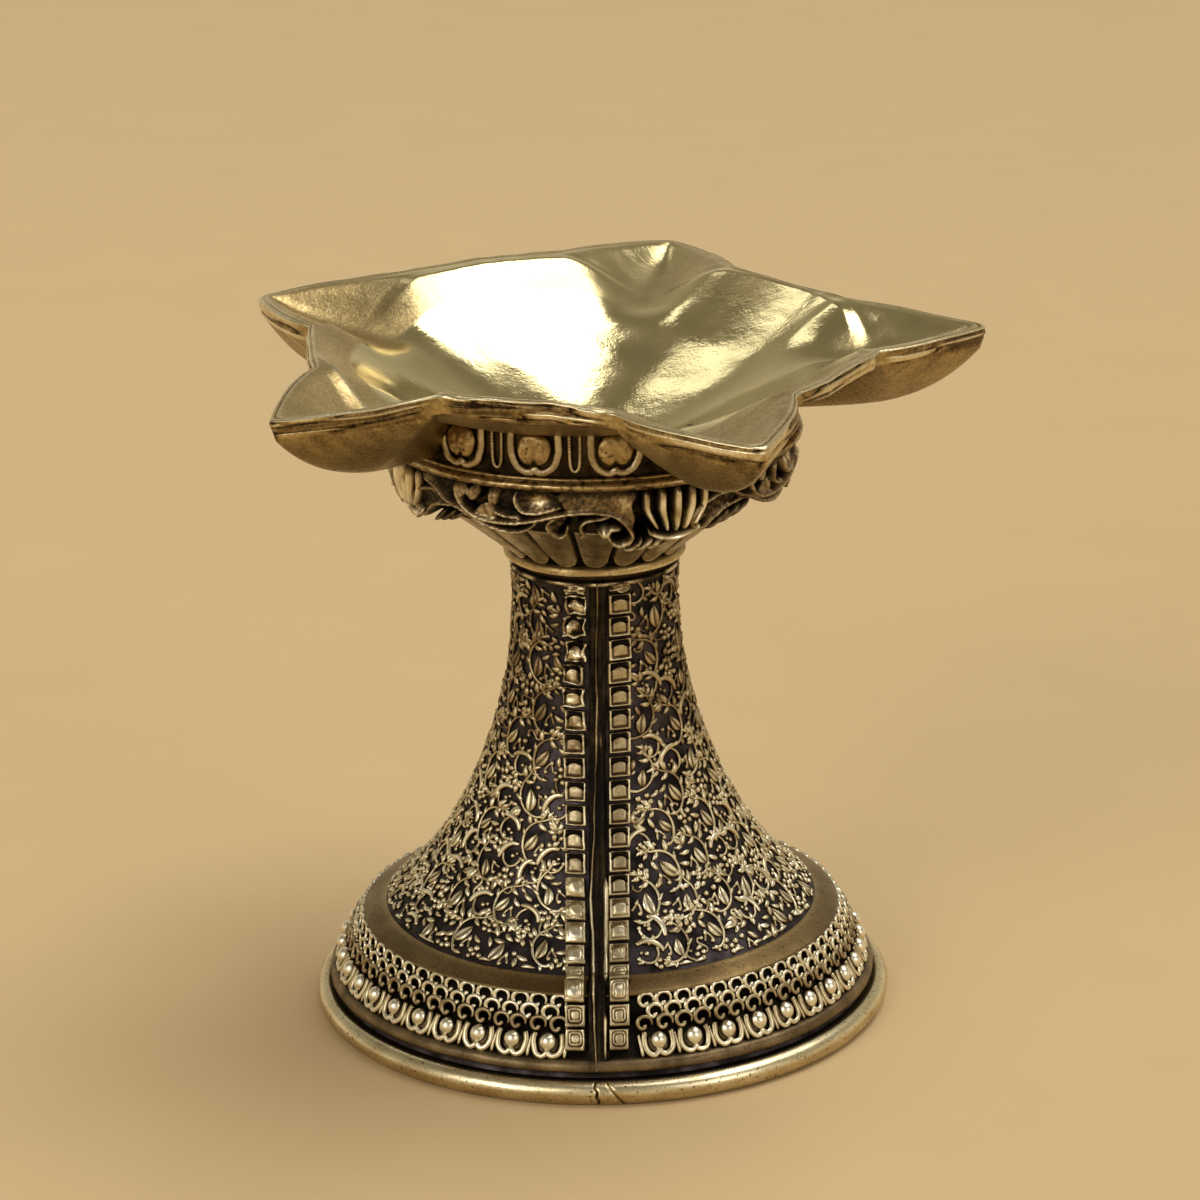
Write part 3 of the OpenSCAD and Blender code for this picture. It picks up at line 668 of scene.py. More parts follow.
def layFootLeaves(gen, put):
    # leaves lying along the foot of the flare
    for a in np.arange(0, 360, filigree["footStep"]):
        if gen.random() < 0.85:
            flat = leafOf(gen, (-1.0, 0), (1.0, 0), 0.6, gen.choice([-0.15, 0.15]), 0.15)
            put([flat], a + gen.uniform(-0.6, 0.6), filigree["footLeaf"], 1, gen.uniform(-6, 6))


def addCastEdge(casting):
    # rough cast edge at the top of the stem
    inner = filigree["edge"]
    face = inner + 0.3
    loop = np.array([(0, -0.75), (0.55, -0.7), (0.8, -0.4), (0.7, -0.06), (0, -0.06)]) + [inner, zNeck]

    def bright(r, z, a):
        return np.where(r > face, 0.45 + 0.3 * ringNoise(a, 60, 61), 0.1)

    def push(r, z, a):
        return np.where(r > face, 0.16 * ringNoise(a, 50, 62, z * 1.5), 0)

    lathe(casting, loop, np.arange(0, 360, 1.5), bright, push)


makeFiligree()

# scale strip: three staggered rows of open rings laid like fish scales
scales = {"wide": 2.74, "ring": 1.06, "wire": 0.33, "rows": 3, "rowStep": 1.58, "stand": 0.28, "hang": 2.0,
          "ground": 0.42, "seamHalf": 4.5, "rowLift": 0.16, "rubbed": (1.0, 0.92, 0.62)}


def openRing(gen):
    # three quarters of a ring with a curl at its lower left, thin at the right foot and fat over the crown
    ring = arc((0, 0), scales["ring"] * gen.uniform(0.94, 1.06), gen.uniform(-38, -15), 232, 14) * [1, 0.92]
    curl = ring[-1] + np.array([(0.34, -0.06), (0.62, 0.12), (0.6, 0.46)])
    count = 20
    path = smoothPath([*ring, *curl], count)
    thick = np.interp(np.linspace(0, 1, count), (0, 0.2, 0.55, 0.8, 1), (0.5, 0.8, 1.1, 1.0, 1.15))
    return tube(path, scales["wire"] * thick * gen.uniform(0.92, 1.1), 0.12)


def makeScales():
    casting, gen = Casting(), np.random.default_rng(3)
    ground, rad, half = scales["ground"], scales["ring"], scales["seamHalf"]
    # the lowest row hangs over the petals
    rail, length = stripRail(zScale - scales["hang"], zDrum, ground)
    corners = ((zScale, -0.1), (zScale, ground), (zDrum, ground), (zDrum, -0.1))
    lathe(casting, [(drumSide(z) + thick, z) for z, thick in corners], np.arange(0, 360, 1.5), 0.0)
    for row in range(scales["rows"]):
        s = length - 0.9 * rad - row * scales["rowStep"]
        r = float(rail(s)[0])
        clear = math.degrees(half / r)
        count = round((2 * math.pi * r - 2 * half) / scales["wide"])
        pitch = (360 - 2 * clear) / count
        odd = row % 2
        for k in range(count):
            angle = seamAngle + clear + (k + (0.95 if odd else 0.45)) * pitch + gen.normal(0, 0.05) * pitch
            if odd and k == count - 1:
                continue
            verts, faces = openRing(gen)
            verts[:, 2] += scales["rowLift"] * row + scales["stand"] * smooth(-rad, rad, verts[:, 1])
            glow = scales["rubbed"][row] * gen.uniform(0.85, 1.05)
            relief = glow * smooth(-0.1, 0.45, verts[:, 2] - 0.14 * row)
            casting.add(lay(rail, verts, angle, s), faces, relief)
    makePiece("scaleStrip", casting, "pedestal", "antique_brass", antiqueMetal, "scale_strip")


makeScales()

# petal strip: a bead held in a double-lobed petal, with a small dart between petals
# the last five say how near the seam a petal, a bead, a whole petal and a dart start, and where it cuts one
petals = {"count": 46, "rim": 0.44, "up": 3.45, "beadWide": 1.26, "beadTall": 1.36, "beadRise": 1.35,
          "sunk": 0.3, "nearPetal": 3.6, "nearBead": 4.9, "nearWhole": 6.4, "nearDart": 5.0, "cut": 4.4}
petalHalf = [(-1.8, 1.6), (-2.0, 0.6), (-1.95, -0.5), (-1.5, -1.3), (-0.8, -1.6), (-0.25, -1.35), (0, -1.0)]


def mirrored(half):
    # an outline from its left half, whose last point is on the middle line
    return np.asarray(half + [(-x, y) for x, y in half[-2::-1]])


def makePetals():
    strip, beads, gen = Casting(), Casting(), np.random.default_rng(9)
    thick = pedestal["strip"]
    addPetalGround(strip, thick)
    rail = stripRail(zPetal, zScale, thick - petals["sunk"])[0]
    middle = petals["up"]
    r = float(rail(middle)[0])
    step = 360 / petals["count"]
    outline = mirrored(petalHalf)
    round20 = np.radians(np.arange(0, 360, 20))

    def near(angle):
        return math.radians(min(angle, 360 - angle)) * r

    for k in range(petals["count"]):
        angle = (k + 0.5) * step
        side = 1 if angle < 180 else -1
        away = near(angle)
        if away > petals["nearPetal"]:
            path = smoothPath(outline + gen.normal(0, 0.04, outline.shape), 32)
            if away < petals["nearWhole"]:     # a petal cut short by the seam
                path = path[path[:, 0] * side > petals["cut"] - away]
            else:                              # the petal's hollow face under the bead
                verts, faces = dome(path * [0.84, 0.8], 0.3, 5, 3.0)
                relief = 0.34 * smooth(-0.1, 0.28, verts[:, 2])
                strip.add(lay(rail, verts, seamAngle + angle, middle), faces, relief)
            if len(path) > 4:
                verts, faces = tube(path, petals["rim"] * gen.uniform(0.94, 1.06), petals["sunk"], 8, 1.0)
                relief = (0.78 - 0.1 * verts[:, 1]) * smooth(0.1, 0.72, verts[:, 2])
                strip.add(lay(rail, verts, seamAngle + angle, middle), faces, relief)
            if away > petals["nearBead"]:
                egg = np.stack([petals["beadWide"] * np.cos(round20),
                                0.4 + petals["beadTall"] * np.sin(round20)], 1) * gen.uniform(0.95, 1.05)
                verts, faces = dome(egg, petals["beadRise"] * gen.uniform(0.94, 1.06), 7, 2.0)
                beads.add(lay(rail, verts, seamAngle + angle, middle), faces, smooth(0.0, 0.75, verts[:, 2]))
        between = angle + step / 2
        if near(between) > petals["nearDart"]:
            lean = np.array([(-0.22, 1.3), (-0.05, 0.2), (0.12, -0.8), (0.2, -1.8)]) * [side, 1]
            thickness = np.array([0.2, 0.24, 0.27, 0.29, 0.3, 0.31, 0.32, 0.28, 0.15])
            verts, faces = tube(smoothPath(lean, len(thickness)), thickness, 0.25)
            relief = 0.75 * smooth(0.1, 0.5, verts[:, 2])
            strip.add(lay(rail, verts, seamAngle + between, middle), faces, relief)
    makePiece("petalStrip", strip, "pedestal", "antique_brass", antiqueMetal, "petal_strip")
    makePiece("petalBeads", beads, "pedestal", "satin_brass", antiqueMetal, "petal_beads")


def addPetalGround(strip, thick):
    # the strip's dark ground, with a brown ledge along its foot
    ledge, head = drumSide(zPetal) + thick, drumSide(zScale)
    loop = [(ledge - 1.0, zPetal), (ledge + 0.2, zPetal), (ledge + 0.24, zPetal + 0.4),
            (ledge + 0.1, zPetal + 0.9), (ledge - 0.25, zPetal + 1.35),
            (drumSide(zPetal + 1.7) + thick - 0.35, zPetal + 1.6),
            (head + thick - petals["sunk"], zScale), (head - 0.1, zScale)]

    def bright(r, z, a):
        return np.where(z < zPetal + 1.5, 0.42 + 0.08 * ringNoise(a, 90, 64), 0.05)

    def push(r, z, a):
        return np.where((z < zPetal + 1.0) & (r > ledge), 0.05 * ringNoise(a, 70, 63), 0)

    lathe(strip, loop, everyDegree, bright, push)


makePetals()

# seam: two columns of square beads and a rough ridge between them, leaning a little across the axis
seam = {"offset": 3.05, "wideTop": 3.25, "wideFoot": 2.8, "tall": 3.12, "pitch": 3.34, "rise": 0.95,
        "leanFoot": -0.95, "leanTop": 0.35, "grid": 31, "sunk": -0.6, "ridgeLeft": -1.45, "ridgeRight": 1.8}


def seamLean(s):
    return seam["leanFoot"] + (seam["leanTop"] - seam["leanFoot"]) * s / faceLength


def squareBead(gen, rough, wide, pillow, ringed):
    # a seal: a raised border, a bell-shaped pad inside it and a recess above the pad
    # ringed seals have a second ring for the recess, a pillow is worn smooth, and a rough one is misshapen
    tall = seam["tall"]
    xs, ys = (np.linspace(-1, 1, seam["grid"]) * size / 2 for size in (wide, tall))
    x, y = np.meshgrid(xs, ys)
    seed = int(gen.integers(1, 9999))
    bentX = x + 0.3 * rough * noiseOf(x * 0.8 + 30, y * 0.8 + 30, seed)
    bentY = y + 0.3 * rough * noiseOf(x * 0.8 + 10, y * 0.8 + 40, seed)
    grit = rough * noiseOf(x * 1.4 + 20, y * 1.4 + 20, seed)
    x, y = bentX, bentY
    edge = np.minimum(wide / 2 - np.abs(x), tall / 2 - np.abs(y))
    shift = gen.normal(0, 0.03 + 0.08 * rough, 2)
    inward = np.minimum(wide / 2 - np.abs(x - shift[0]), tall / 2 + y - shift[1])
    inner, upper = smooth(0.5, 0.7, inward), smooth(tall / 2 - 0.3, tall / 2 - 0.15, y)
    groove = peak(inward, 0.52, 0.14) * (1 - smooth(0.3, 0.8, y))
    recess = smooth(0.3, 0.46, inward) * smooth(0.2, 0.5, y - 0.45 * np.cos(1.5 * x))
    recess = recess * (1 - smooth(tall / 2 - 0.32, tall / 2 - 0.2, y))
    seal = 1 - 0.3 * groove - 0.5 * recess - 0.12 * inner - 0.2 * upper
    # lighter towards the top right corner: painted highlight
    sealGlow = 0.86 + 0.2 * smooth(0.4, 1.2, x + y - 1.6)
    sealGlow = sealGlow - 0.6 * groove - 0.68 * recess - 0.2 * inner - 0.3 * upper
    ring = (np.abs((x - shift[0]) * 2 / wide) ** 4 + np.abs((y - 0.1 - shift[1]) * 2 / tall) ** 4) ** 0.25
    lines = peak(ring, 0.68, 0.055) + peak(ring, 0.42, 0.055) * (y > -0.5)
    rings, ringsGlow = 1 - 0.26 * lines + 0.08 * y / tall, 0.82 - 0.6 * lines + 0.1 * y
    dent = np.exp(-(((x - 0.3 - shift[0]) / 0.45) ** 2 + ((y - 0.2) / 0.6) ** 2))
    worn = 0.55 + 0.62 * (1 - (2 * x / wide) ** 2) * (1 - (2 * y / tall) ** 2) - 0.1 * dent
    wornGlow = 0.72 + 0.3 * smooth(0.2, 0.8, edge)
    flat = (seal * (1 - ringed) + rings * ringed) * (1 - pillow) + worn * pillow
    glow = (sealGlow * (1 - ringed) + ringsGlow * ringed) * (1 - pillow) + wornGlow * pillow
    body = seam["rise"] * flat * np.clip(edge / 0.16, 0, 1) ** 0.5 + 0.3 * grit
    bright = np.clip((glow + 0.4 * grit) * gen.uniform(0.84, 1.0) * smooth(0.05, 0.4, body), 0, 1)
    body[0], body[-1], body[:, 0], body[:, -1] = -0.1, -0.1, -0.1, -0.1
    return patch(xs, ys, body, seam["sunk"]), bright


def beadColumn(side):
    # the left column is rougher near the top and worn smooth low on the flare
    casting, gen = Casting(), np.random.default_rng(20 + side)
    left = side < 0
    base, more = (0.2, 0.9) if left else (0.06, 0.06)
    s = faceLength - seam["pitch"] * 0.95
    while s > seam["tall"] / 2 + 0.05:
        rough = base + more * float(smooth(faceLength - 24, faceLength - 8, s))
        if left and 10 < s < 28:
            pillow = gen.uniform(0.55, 1.0)
        else:
            pillow = 0.45 * float(smooth(9, 12, s) - smooth(24, 27, s))
        wide = seam["wideFoot"] + (seam["wideTop"] - seam["wideFoot"]) * s / faceLength
        (verts, faces), bright = squareBead(gen, rough, wide, pillow, float(1 - smooth(12, 22, s)))
        tilt = math.radians(gen.normal(0, 2.5 * rough))
        c, k = math.cos(tilt), math.sin(tilt)
        size = 1 + gen.normal(0, 0.02 + 0.04 * rough)
        x, y = verts[:, 0] * size, verts[:, 1] * size
        across = side * seam["offset"] + seamLean(s) + gen.normal(0, 0.04 + 0.1 * rough)
        flat = np.stack([x * c - y * k + across, x * k + y * c, verts[:, 2]], 1)
        casting.add(lay(faceRail, flat, seamAngle, s), faces, overPatch(bright, verts))
        s -= seam["pitch"] * (1 + gen.normal(0, 0.01 + 0.015 * rough))
    # a broken bead closes the column under the collar
    (verts, faces), bright = squareBead(gen, 1.2, seam["wideTop"], 0.75, 0.0)
    flat = verts * [0.95, 0.42, 0.9] + [side * seam["offset"] + seamLean(faceLength), 0, 0]
    casting.add(lay(faceRail, flat, seamAngle, faceLength - 0.95), faces, overPatch(0.8 * bright, verts))
    return casting


def seamRidge():
    # a wavering ridge, with a wider flash of metal along its right edge, rubbed bright low on the flare
    ridge = Casting()
    xs, ys = np.linspace(seam["ridgeLeft"], seam["ridgeRight"], 32), np.linspace(0.0, faceLength, 560)
    x, y = np.meshgrid(xs, ys)
    waver = 0.12 * noiseOf(y / 6, 0, 31) + 0.05 * noiseOf(y / 1.5, 0, 32)
    places, offsets = (0, 9, 14, 20, 26, 34, faceLength), (-0.1, -0.4, -0.45, -0.6, -0.95, -0.35, 0.0)
    line = np.interp(y, places, offsets) + waver
    rubbed = 0.25 + 0.75 * smooth(9, 11, y) * (1 - smooth(24, 30, y))
    edge = 1.25 - 0.9 * smooth(34, 52, y) * (1 - smooth(56, 60, y)) + 0.5 * waver
    flash = 0.15 + 0.85 * smooth(11, 14, y) * (1 - smooth(26, 31, y)) + 0.55 * (1 - smooth(7, 9, y))
    flash = np.clip(flash + 0.4 * noiseOf(y / 3, 0, 34), 0, 1.1)
    out = 0.14 + 0.07 * noiseOf(x * 2.6, y / 4, 36)
    out = out + (0.26 + 0.3 * rubbed) * peak(x, line, 0.18 + 0.1 * rubbed)
    out = out + 0.6 * flash * peak(x, edge, 0.16 + 0.26 * flash)
    out = out - 0.4 * smooth(1.1, 1.35, np.abs(x)) * (1 - 0.8 * np.minimum(flash, 1) * (x > 0))
    verts, faces = patch(xs, ys, out, seam["sunk"])
    verts[:, 0] += seamLean(verts[:, 1])
    bright = 0.1 + 0.1 * noiseOf(x * 3, y / 5, 37) + 0.75 * smooth(0.26, 0.66, out)
    ridge.add(lay(faceRail, verts, seamAngle, 0.0), faces, overPatch(bright, verts))
    return ridge


makePiece("seamBeadsLeft", beadColumn(-1), "pedestal", "satin_brass", antiqueMetal, "seam_beads_left")
makePiece("seamBeadsRight", beadColumn(1), "pedestal", "satin_brass", antiqueMetal, "seam_beads_right")
makePiece("seamRidge", seamRidge(), "pedestal", "antique_brass", antiqueMetal, "seam_ridge")

# foot ring: a rounded ring with a groove behind its roll, cracked at the seam
foot = {"out": 41.6, "wide": 5.2, "crackDeep": 0.5, "crackStep": 0.12, "crackSpan": 8}


def makeFoot():
    casting = Casting()
    h, inner = zFoot, foot["out"] - foot["wide"]
    corner = np.radians(np.linspace(-75, 92, 15))
    roll = np.stack([foot["out"] - h / 2 + h / 2 * np.cos(corner), h / 2 + h / 2 * np.sin(corner)], 1)
    under = [(inner, 0), (inner + 1.5, 0), (inner + 3.2, 0)]
    groove = [(inner + 3.0, h - 0.35), (inner + 2.6, h - 0.5), (inner + 1.4, h - 0.2), (inner, h)]
    start, end = seamAngle - foot["crackSpan"], seamAngle + foot["crackSpan"]
    angles = np.concatenate([np.arange(end - 360, start, 1.0), np.arange(start, end, foot["crackStep"])])

    def splits(z, a):
        x = np.radians(fromSeam(a)) * foot["out"]
        left = peak(x + 0.95 + 0.2 * (z - 1.5) + 0.12 * np.sin(z * 5), 0, 0.15)
        right = peak(x - 0.35 - 0.8 * (3.4 - z), 0, 0.16)
        return left + 0.8 * right

    def push(r, z, a):
        waver = 0.07 * ringNoise(a, 14, 41) + 0.04 * ringNoise(a, 60, 42, z)
        return np.where((r > inner + 2.2) & (z > 0.01), waver - foot["crackDeep"] * splits(z, a), 0.0)

    def bright(r, z, a):
        # painted highlight on the outer roll and, a little, on its upper part; painted shade, near black, in
        # the groove behind the roll; the cracks are dark
        shine = 0.05 + 0.68 * smooth(foot["out"] - 2.5, foot["out"] - 1.6, r)
        shine = shine + 0.14 * smooth(1.2, 2.8, z) + 0.05 * ringNoise(a, 80, 48, z * 2)
        return np.clip(shine - 0.9 * splits(z, a), 0, 1)

    lathe(casting, np.concatenate([under, roll, groove]), angles, bright, push)
    makePiece("footRing", casting, "pedestal", "satin_brass", satinMetal, "foot_ring")


makeFoot()


# base moulding: a plain rounded band, a little brighter along its upper edge
def makeBaseMoulding():
    casting = Casting()
    t = np.linspace(0, 1, 9)
    flare = pedestal["flare"]
    band = np.stack([flare + mouldingOut * (1 - t), zDrum + (zFlare - zDrum) * t ** 0.75], 1)
    loop = np.concatenate([[(flare - 0.2, zDrum)], band, [(flare - 0.2, zFlare)]])

    def bright(r, z, a):
        return 0.34 + 0.22 * peak(z, zFlare, 0.2) + 0.04 * ringNoise(a, 30, 49, z)

    def push(r, z, a):
        return np.where(r > flare + 0.1, 0.05 * ringNoise(a, 16, 43), 0)

    lathe(casting, loop, everyDegree, bright, push)
    makePiece("baseMoulding", casting, "pedestal", "satin_brass", satinMetal, "base_moulding")


makeBaseMoulding()

# cup moulding: a narrow upper ridge over the main roll, both stippled by the casting
cupMoulding = {"inner": 24.2, "roll": 0.95, "line": 1.38, "ridge": 1.75, "tall": 2.0}


def makeCupMoulding():
    casting = Casting()
    inner, tall = cupMoulding["inner"], cupMoulding["tall"]
    side = [(inner, 0.0), (28.9, 0.02), (29.3, 0.2), (29.55, 0.5), (29.6, 0.8), (29.5, 1.05),
            (29.2, 1.22), (28.85, 1.3), (28.75, 1.42), (28.9, 1.52), (29.05, 1.65), (29.0, 1.82),
            (28.8, 1.94), (inner, tall)]
    loop = np.asarray(side) * [1, (zMoulding - zFrieze) / tall] + [0, zFrieze]

    def bright(r, z, a):
        up = z - zFrieze
        rubbed = 0.38 + 0.4 * peak(up, cupMoulding["roll"], 0.32) + 0.3 * peak(up, cupMoulding["ridge"], 0.14)
        stipple = smooth(0.15, 0.6, ringNoise(a, 330, 50, z * 3.5))
        return rubbed - 0.3 * peak(up, cupMoulding["line"], 0.1) - 0.4 * stipple

    def push(r, z, a):
        return np.where(r > 28, 0.05 * ringNoise(a, 18, 44) + 0.05 * ringNoise(a, 240, 45, z * 3), 0)

    lathe(casting, loop, np.arange(0, 360, 0.5), bright, push)
    makePiece("cupMoulding", casting, "lamp_head", "satin_brass", satinMetal, "cup_moulding")


makeCupMoulding()

# neck collar: a roll over a parting gap, out of true as hand finishing leaves it; the roll is painted bright
# with painted shade above it, and the gap is painted near black as shade
collar = {"bore": 5.3, "floor": 8.0, "roll": 1.3}


def makeCollar():
    casting = Casting()
    side = [(11.45, 0.02), (11.4, 0.5), (11.5, 0.95), (12.2, 1.0), (12.7, 1.1), (12.92, 1.35), (12.95, 1.7),
            (12.85, 2.05), (12.65, 2.3), (12.4, 2.45), (12.3, 2.6)]
    under, over = ([(collar["bore"], z), (collar["floor"], z)] for z in (zNeck, zCollar))
    loop = np.concatenate([under, np.asarray(side) + [0, zNeck], over[::-1]])

    def bright(r, z, a):
        # painted highlight along the roll and painted shade above it, where the cup shades the collar; the
        # parting gap is painted near black as shade
        rubbed = 0.5 + 0.4 * peak(z - zNeck, collar["roll"], 0.4) + 0.1 * ringNoise(a, 40, 51)
        return np.where(r > 11.9, rubbed, 0.03)

    def push(r, z, a):
        return np.where(r > 11.6, 0.1 * ringNoise(a, 12, 46) + 0.06 * ringNoise(a, 36, 47, z * 2) - 0.08, 0)

    lathe(casting, loop, everyDegree, bright, push)
    makePiece("neckCollar", casting, "collar", "buffed_brass", satinMetal, "neck_collar")


makeCollar()

# fluted cup: tongues with a fine raised outline and dark grooves between
flutes = {"count": 20, "foot": 12.2, "head": 22.3, "groove": 0.6, "gap": 0.36, "outline": 0.12, "turn": 0.6,
          "start": 0.35, "perFlute": 22, "wall": 2.4, "stud": 5.0, "floor": 6.0}


def makeCup():
    casting = Casting()
    rail, length = railOf([[flutes["foot"], zCollar], [flutes["head"], zCup]])
    around = flutes["count"] * flutes["perFlute"]
    angles = np.arange(around) * 360 / around
    ss = np.concatenate([np.linspace(0, 2.6, 22), np.linspace(2.75, length, 34)])
    a, s = np.meshgrid(angles, ss)
    pitch = 360 / flutes["count"]
    off = (a - flutes["turn"] + 0.5 * pitch) % pitch - 0.5 * pitch
    r = rail(s)[0]
    x = np.radians(off) * r
    halfWide = np.radians(pitch) * r / 2 - flutes["gap"]
    # each tongue ends in a half circle at its foot
    endR = math.radians(pitch) * float(rail(flutes["start"] + 1.4)[0]) / 2 - flutes["gap"]
    fromEnd = flutes["start"] + endR - s
    edge = np.where(fromEnd > 0, endR - np.hypot(x, fromEnd), halfWide - np.abs(x))
    inside = smooth(-0.12, 0.14, edge)
    h = -flutes["groove"] + inside * (flutes["groove"] + 0.05 + 0.3 * (1 - (x / halfWide) ** 2))
    h = h + flutes["outline"] * peak(edge, 0.2, 0.13)
    h = (h + 0.04 * ringNoise(a, 160, 53, s * 1.2) * inside) * smooth(-0.2, 0.4, s)
    bright = 0.02 + inside * 0.55 + 0.24 * peak(edge, 0.2, 0.14) * (0.4 + 0.6 * (fromEnd > -1))
    bright = np.clip(bright + 0.05 * ringNoise(a, 240, 54, s * 2), 0, 1)
    zFloor = zCollar + flutes["floor"]
    inner = ((flutes["head"] - flutes["wall"], zCup), (flutes["foot"] - flutes["wall"], zFloor),
             (flutes["stud"], zFloor), (flutes["stud"], zCollar))
    back = [roundAxis(rr, angles, zz) for rr, zz in inner]
    verts = np.concatenate([wrap(rail, a, s, h), np.stack(back)]).reshape(-1, 3)
    casting.add(verts, gridFaces(len(ss) + len(inner), around, True, True), overPatch(bright, verts))
    makePiece("flutedCup", casting, "lamp_head", "antique_brass", antiqueMetal, "fluted_cup")


makeCup()

# frieze: one leaf scroll between two shells, four times round
frieze = {"count": 4, "middle": 247.0, "halfSpan": 20.4, "grid": 0.16, "bottom": -5.0, "rubbed": 0.72}
apronPoints = [(24.4, zCup - 1.6), (25.7, zCup + 0.4), (26.7, zCup + 3.0), (27.1, zCup + 5.4),
               (27.0, zFrieze - 0.02)]
apronRail, apronLength = railOf(smoothPath(apronPoints, 40))


def scrollField(x, y):
    # heights of one scroll over the apron, in mm from its middle and up from its foot; ridges are leaf edges
    h, bright = np.full(x.shape, frieze["bottom"]), np.zeros(x.shape)
    pitted = noiseOf(x * 3.2 + 60, y * 3.2 + 9, 51)

    def raiseTo(height, glow):
        nonlocal h, bright
        bright = np.where(height > h, glow, bright)
        h = np.maximum(h, height)

    def web(outline, height, slopeX, slopeY, glow, bowl=0.0, shine=(0.0, 0.0, 0.0, 1.0)):
        # a leaf's face: a sloped patch, hollowed by bowl, with a painted highlight spot (x, y, how bright,
        # how wide)
        outline = smoothPath(outline, 60, True)
        gap = outsideOf(x, y, outline)
        mid = outline.mean(0)
        plane = height + slopeX * (x - mid[0]) + slopeY * (y - mid[1]) - bowl * smooth(0.0, 1.3, -gap)
        spot = shine[2] * np.exp(-((x - shine[0]) ** 2 + (y - shine[1]) ** 2) / shine[3] ** 2)
        face = np.clip(glow + spot + 0.2 * pitted, 0, 1) * (1 - 0.85 * smooth(-0.05, 0.2, gap))
        raiseTo(plane - (np.maximum(gap + 0.1, 0) / 0.25) ** 2, face)

    def ridge(points, wide, tall, glow=0.9, taper=0.3):
        gap, share = nearPath(x, y, smoothPath(points, 90))
        grow = 1 - taper * np.abs(2 * share - 1) ** 3
        crest = tall * grow - 1.1 * (gap / (0.86 * wide * grow)) ** 2
        raiseTo(crest, np.clip(glow - 0.7 * (gap / wide) ** 2 + 0.12 * pitted, 0.05, 1))

    def knob(at, wide, high, glow):
        raiseTo(high - 1.2 * (((x - at[0]) / wide) ** 2 + ((y - at[1]) / wide) ** 2), glow + 0.1 * pitted)

    # leaf faces from the left: a folded leaf, a claw, a wedge, a narrow fold, a broad scoop and a plain band
    web([(-14.3, 9.9), (-13.9, 8.9), (-12.2, 8.1), (-10.4, 7.0), (-8.0, 6.2), (-8.4, 7.6), (-9.2, 9.9)],
        1.2, -0.05, 0.12, 0.2, 0.45, (-13.0, 9.4, 0.7, 1.2))
    web([(-8.2, 9.3), (-8.3, 8.2), (-7.5, 7.3), (-6.7, 8.0), (-5.6, 7.4), (-4.6, 8.3), (-4.4, 9.7),
         (-5.4, 9.4), (-6.1, 8.8), (-6.8, 9.7)], 1.5, -0.05, 0.05, 0.72, 0.2)
    web([(-5.6, 5.6), (-4.2, 7.1), (-3.2, 7.0), (-2.6, 5.4)], 1.0, 0.0, -0.1, 0.7)
    web([(-2.8, 9.5), (-2.9, 8.0), (-2.3, 7.2), (-1.8, 8.4), (-1.4, 9.5)], 1.4, -0.1, 0.0, 0.75)
    web([(-1.9, 9.2), (-2.2, 7.0), (-0.4, 6.1), (0.6, 6.4), (0.2, 9.2)], 0.4, -0.2, 0.0, 0.16)
    web([(0.8, 9.4), (0.7, 7.8), (1.5, 7.0), (2.8, 6.9), (4.6, 7.2), (6.3, 7.6), (6.3, 8.7), (4.6, 9.6),
         (2.4, 9.6)], 1.35, 0.0, 0.05, 0.22, 0.5, (3.7, 8.3, 0.75, 1.3))
    web([(6.7, 9.6), (6.6, 7.8), (7.4, 7.0), (9.8, 7.15), (11.8, 6.95), (13.4, 6.4), (14.4, 5.5), (15.3, 4.3),
         (15.6, 5.8), (15.2, 7.4), (15.1, 9.6)], 1.35, 0.0, 0.06, 0.54, 0.0, (14.2, 8.0, 0.3, 1.2))
    # the long stems, ending in the volute, and the inner leaf edges
    ridge([(-14.1, 10.0), (-14.3, 9.1), (-13.6, 8.4), (-11.8, 7.9), (-10.2, 6.8), (-7.7, 5.9), (-6.1, 5.1),
           (-4.8, 4.5), (-2.7, 3.9), (-0.6, 3.6), (1.1, 3.9), (2.5, 4.7), (3.3, 5.7)], 0.42, 1.75, 0.8)
    ridge([(-6.6, 9.7), (-7.9, 9.4), (-8.3, 8.4), (-7.8, 7.2), (-7.0, 6.2), (-5.2, 5.3), (-2.9, 5.05),
           (-0.5, 5.1), (0.9, 5.3), (3.2, 5.8), (5.4, 6.4), (7.3, 6.8), (9.8, 7.0), (11.8, 6.8), (13.2, 6.3),
           (14.3, 5.3), (15.2, 3.9), (15.4, 3.0), (14.9, 2.1), (13.8, 1.75), (12.9, 2.0), (12.4, 2.8)],
          0.45, 1.95, 0.88)
    ridge([(-1.6, 9.6), (-2.5, 9.4), (-2.9, 8.1), (-2.7, 6.9), (-1.8, 6.2), (-0.5, 5.85), (0.9, 5.8)],
          0.36, 1.8, 0.82)
    ridge([(0.9, 9.5), (0.5, 8.4), (0.8, 7.5), (1.4, 6.85), (2.7, 6.65), (4.5, 6.95), (6.4, 7.5)],
          0.38, 1.9, 0.9)
    # hanging from the stem: a lobed leaf, a hook and the knob inside the volute
    web([(7.0, 6.6), (5.6, 6.0), (4.8, 5.0), (5.0, 4.1), (5.8, 3.6), (6.1, 4.6), (6.9, 5.8)],
        1.0, -0.1, 0.1, 0.3, 0.2)
    ridge([(7.3, 6.7), (5.7, 6.1), (4.5, 5.1), (4.8, 4.0), (5.7, 3.3), (6.6, 3.5), (7.1, 4.7)],
          0.36, 1.7, 0.82)
    ridge([(12.4, 6.0), (10.9, 5.95), (9.5, 5.7), (8.8, 5.1), (8.8, 4.4), (9.1, 3.6), (8.7, 3.0)],
          0.38, 1.7, 0.82)
    ridge([(13.9, 4.5), (12.9, 4.5), (12.1, 4.0)], 0.6, 1.7, 0.85)
    knob((11.9, 3.9), 0.85, 2.2, 0.95)
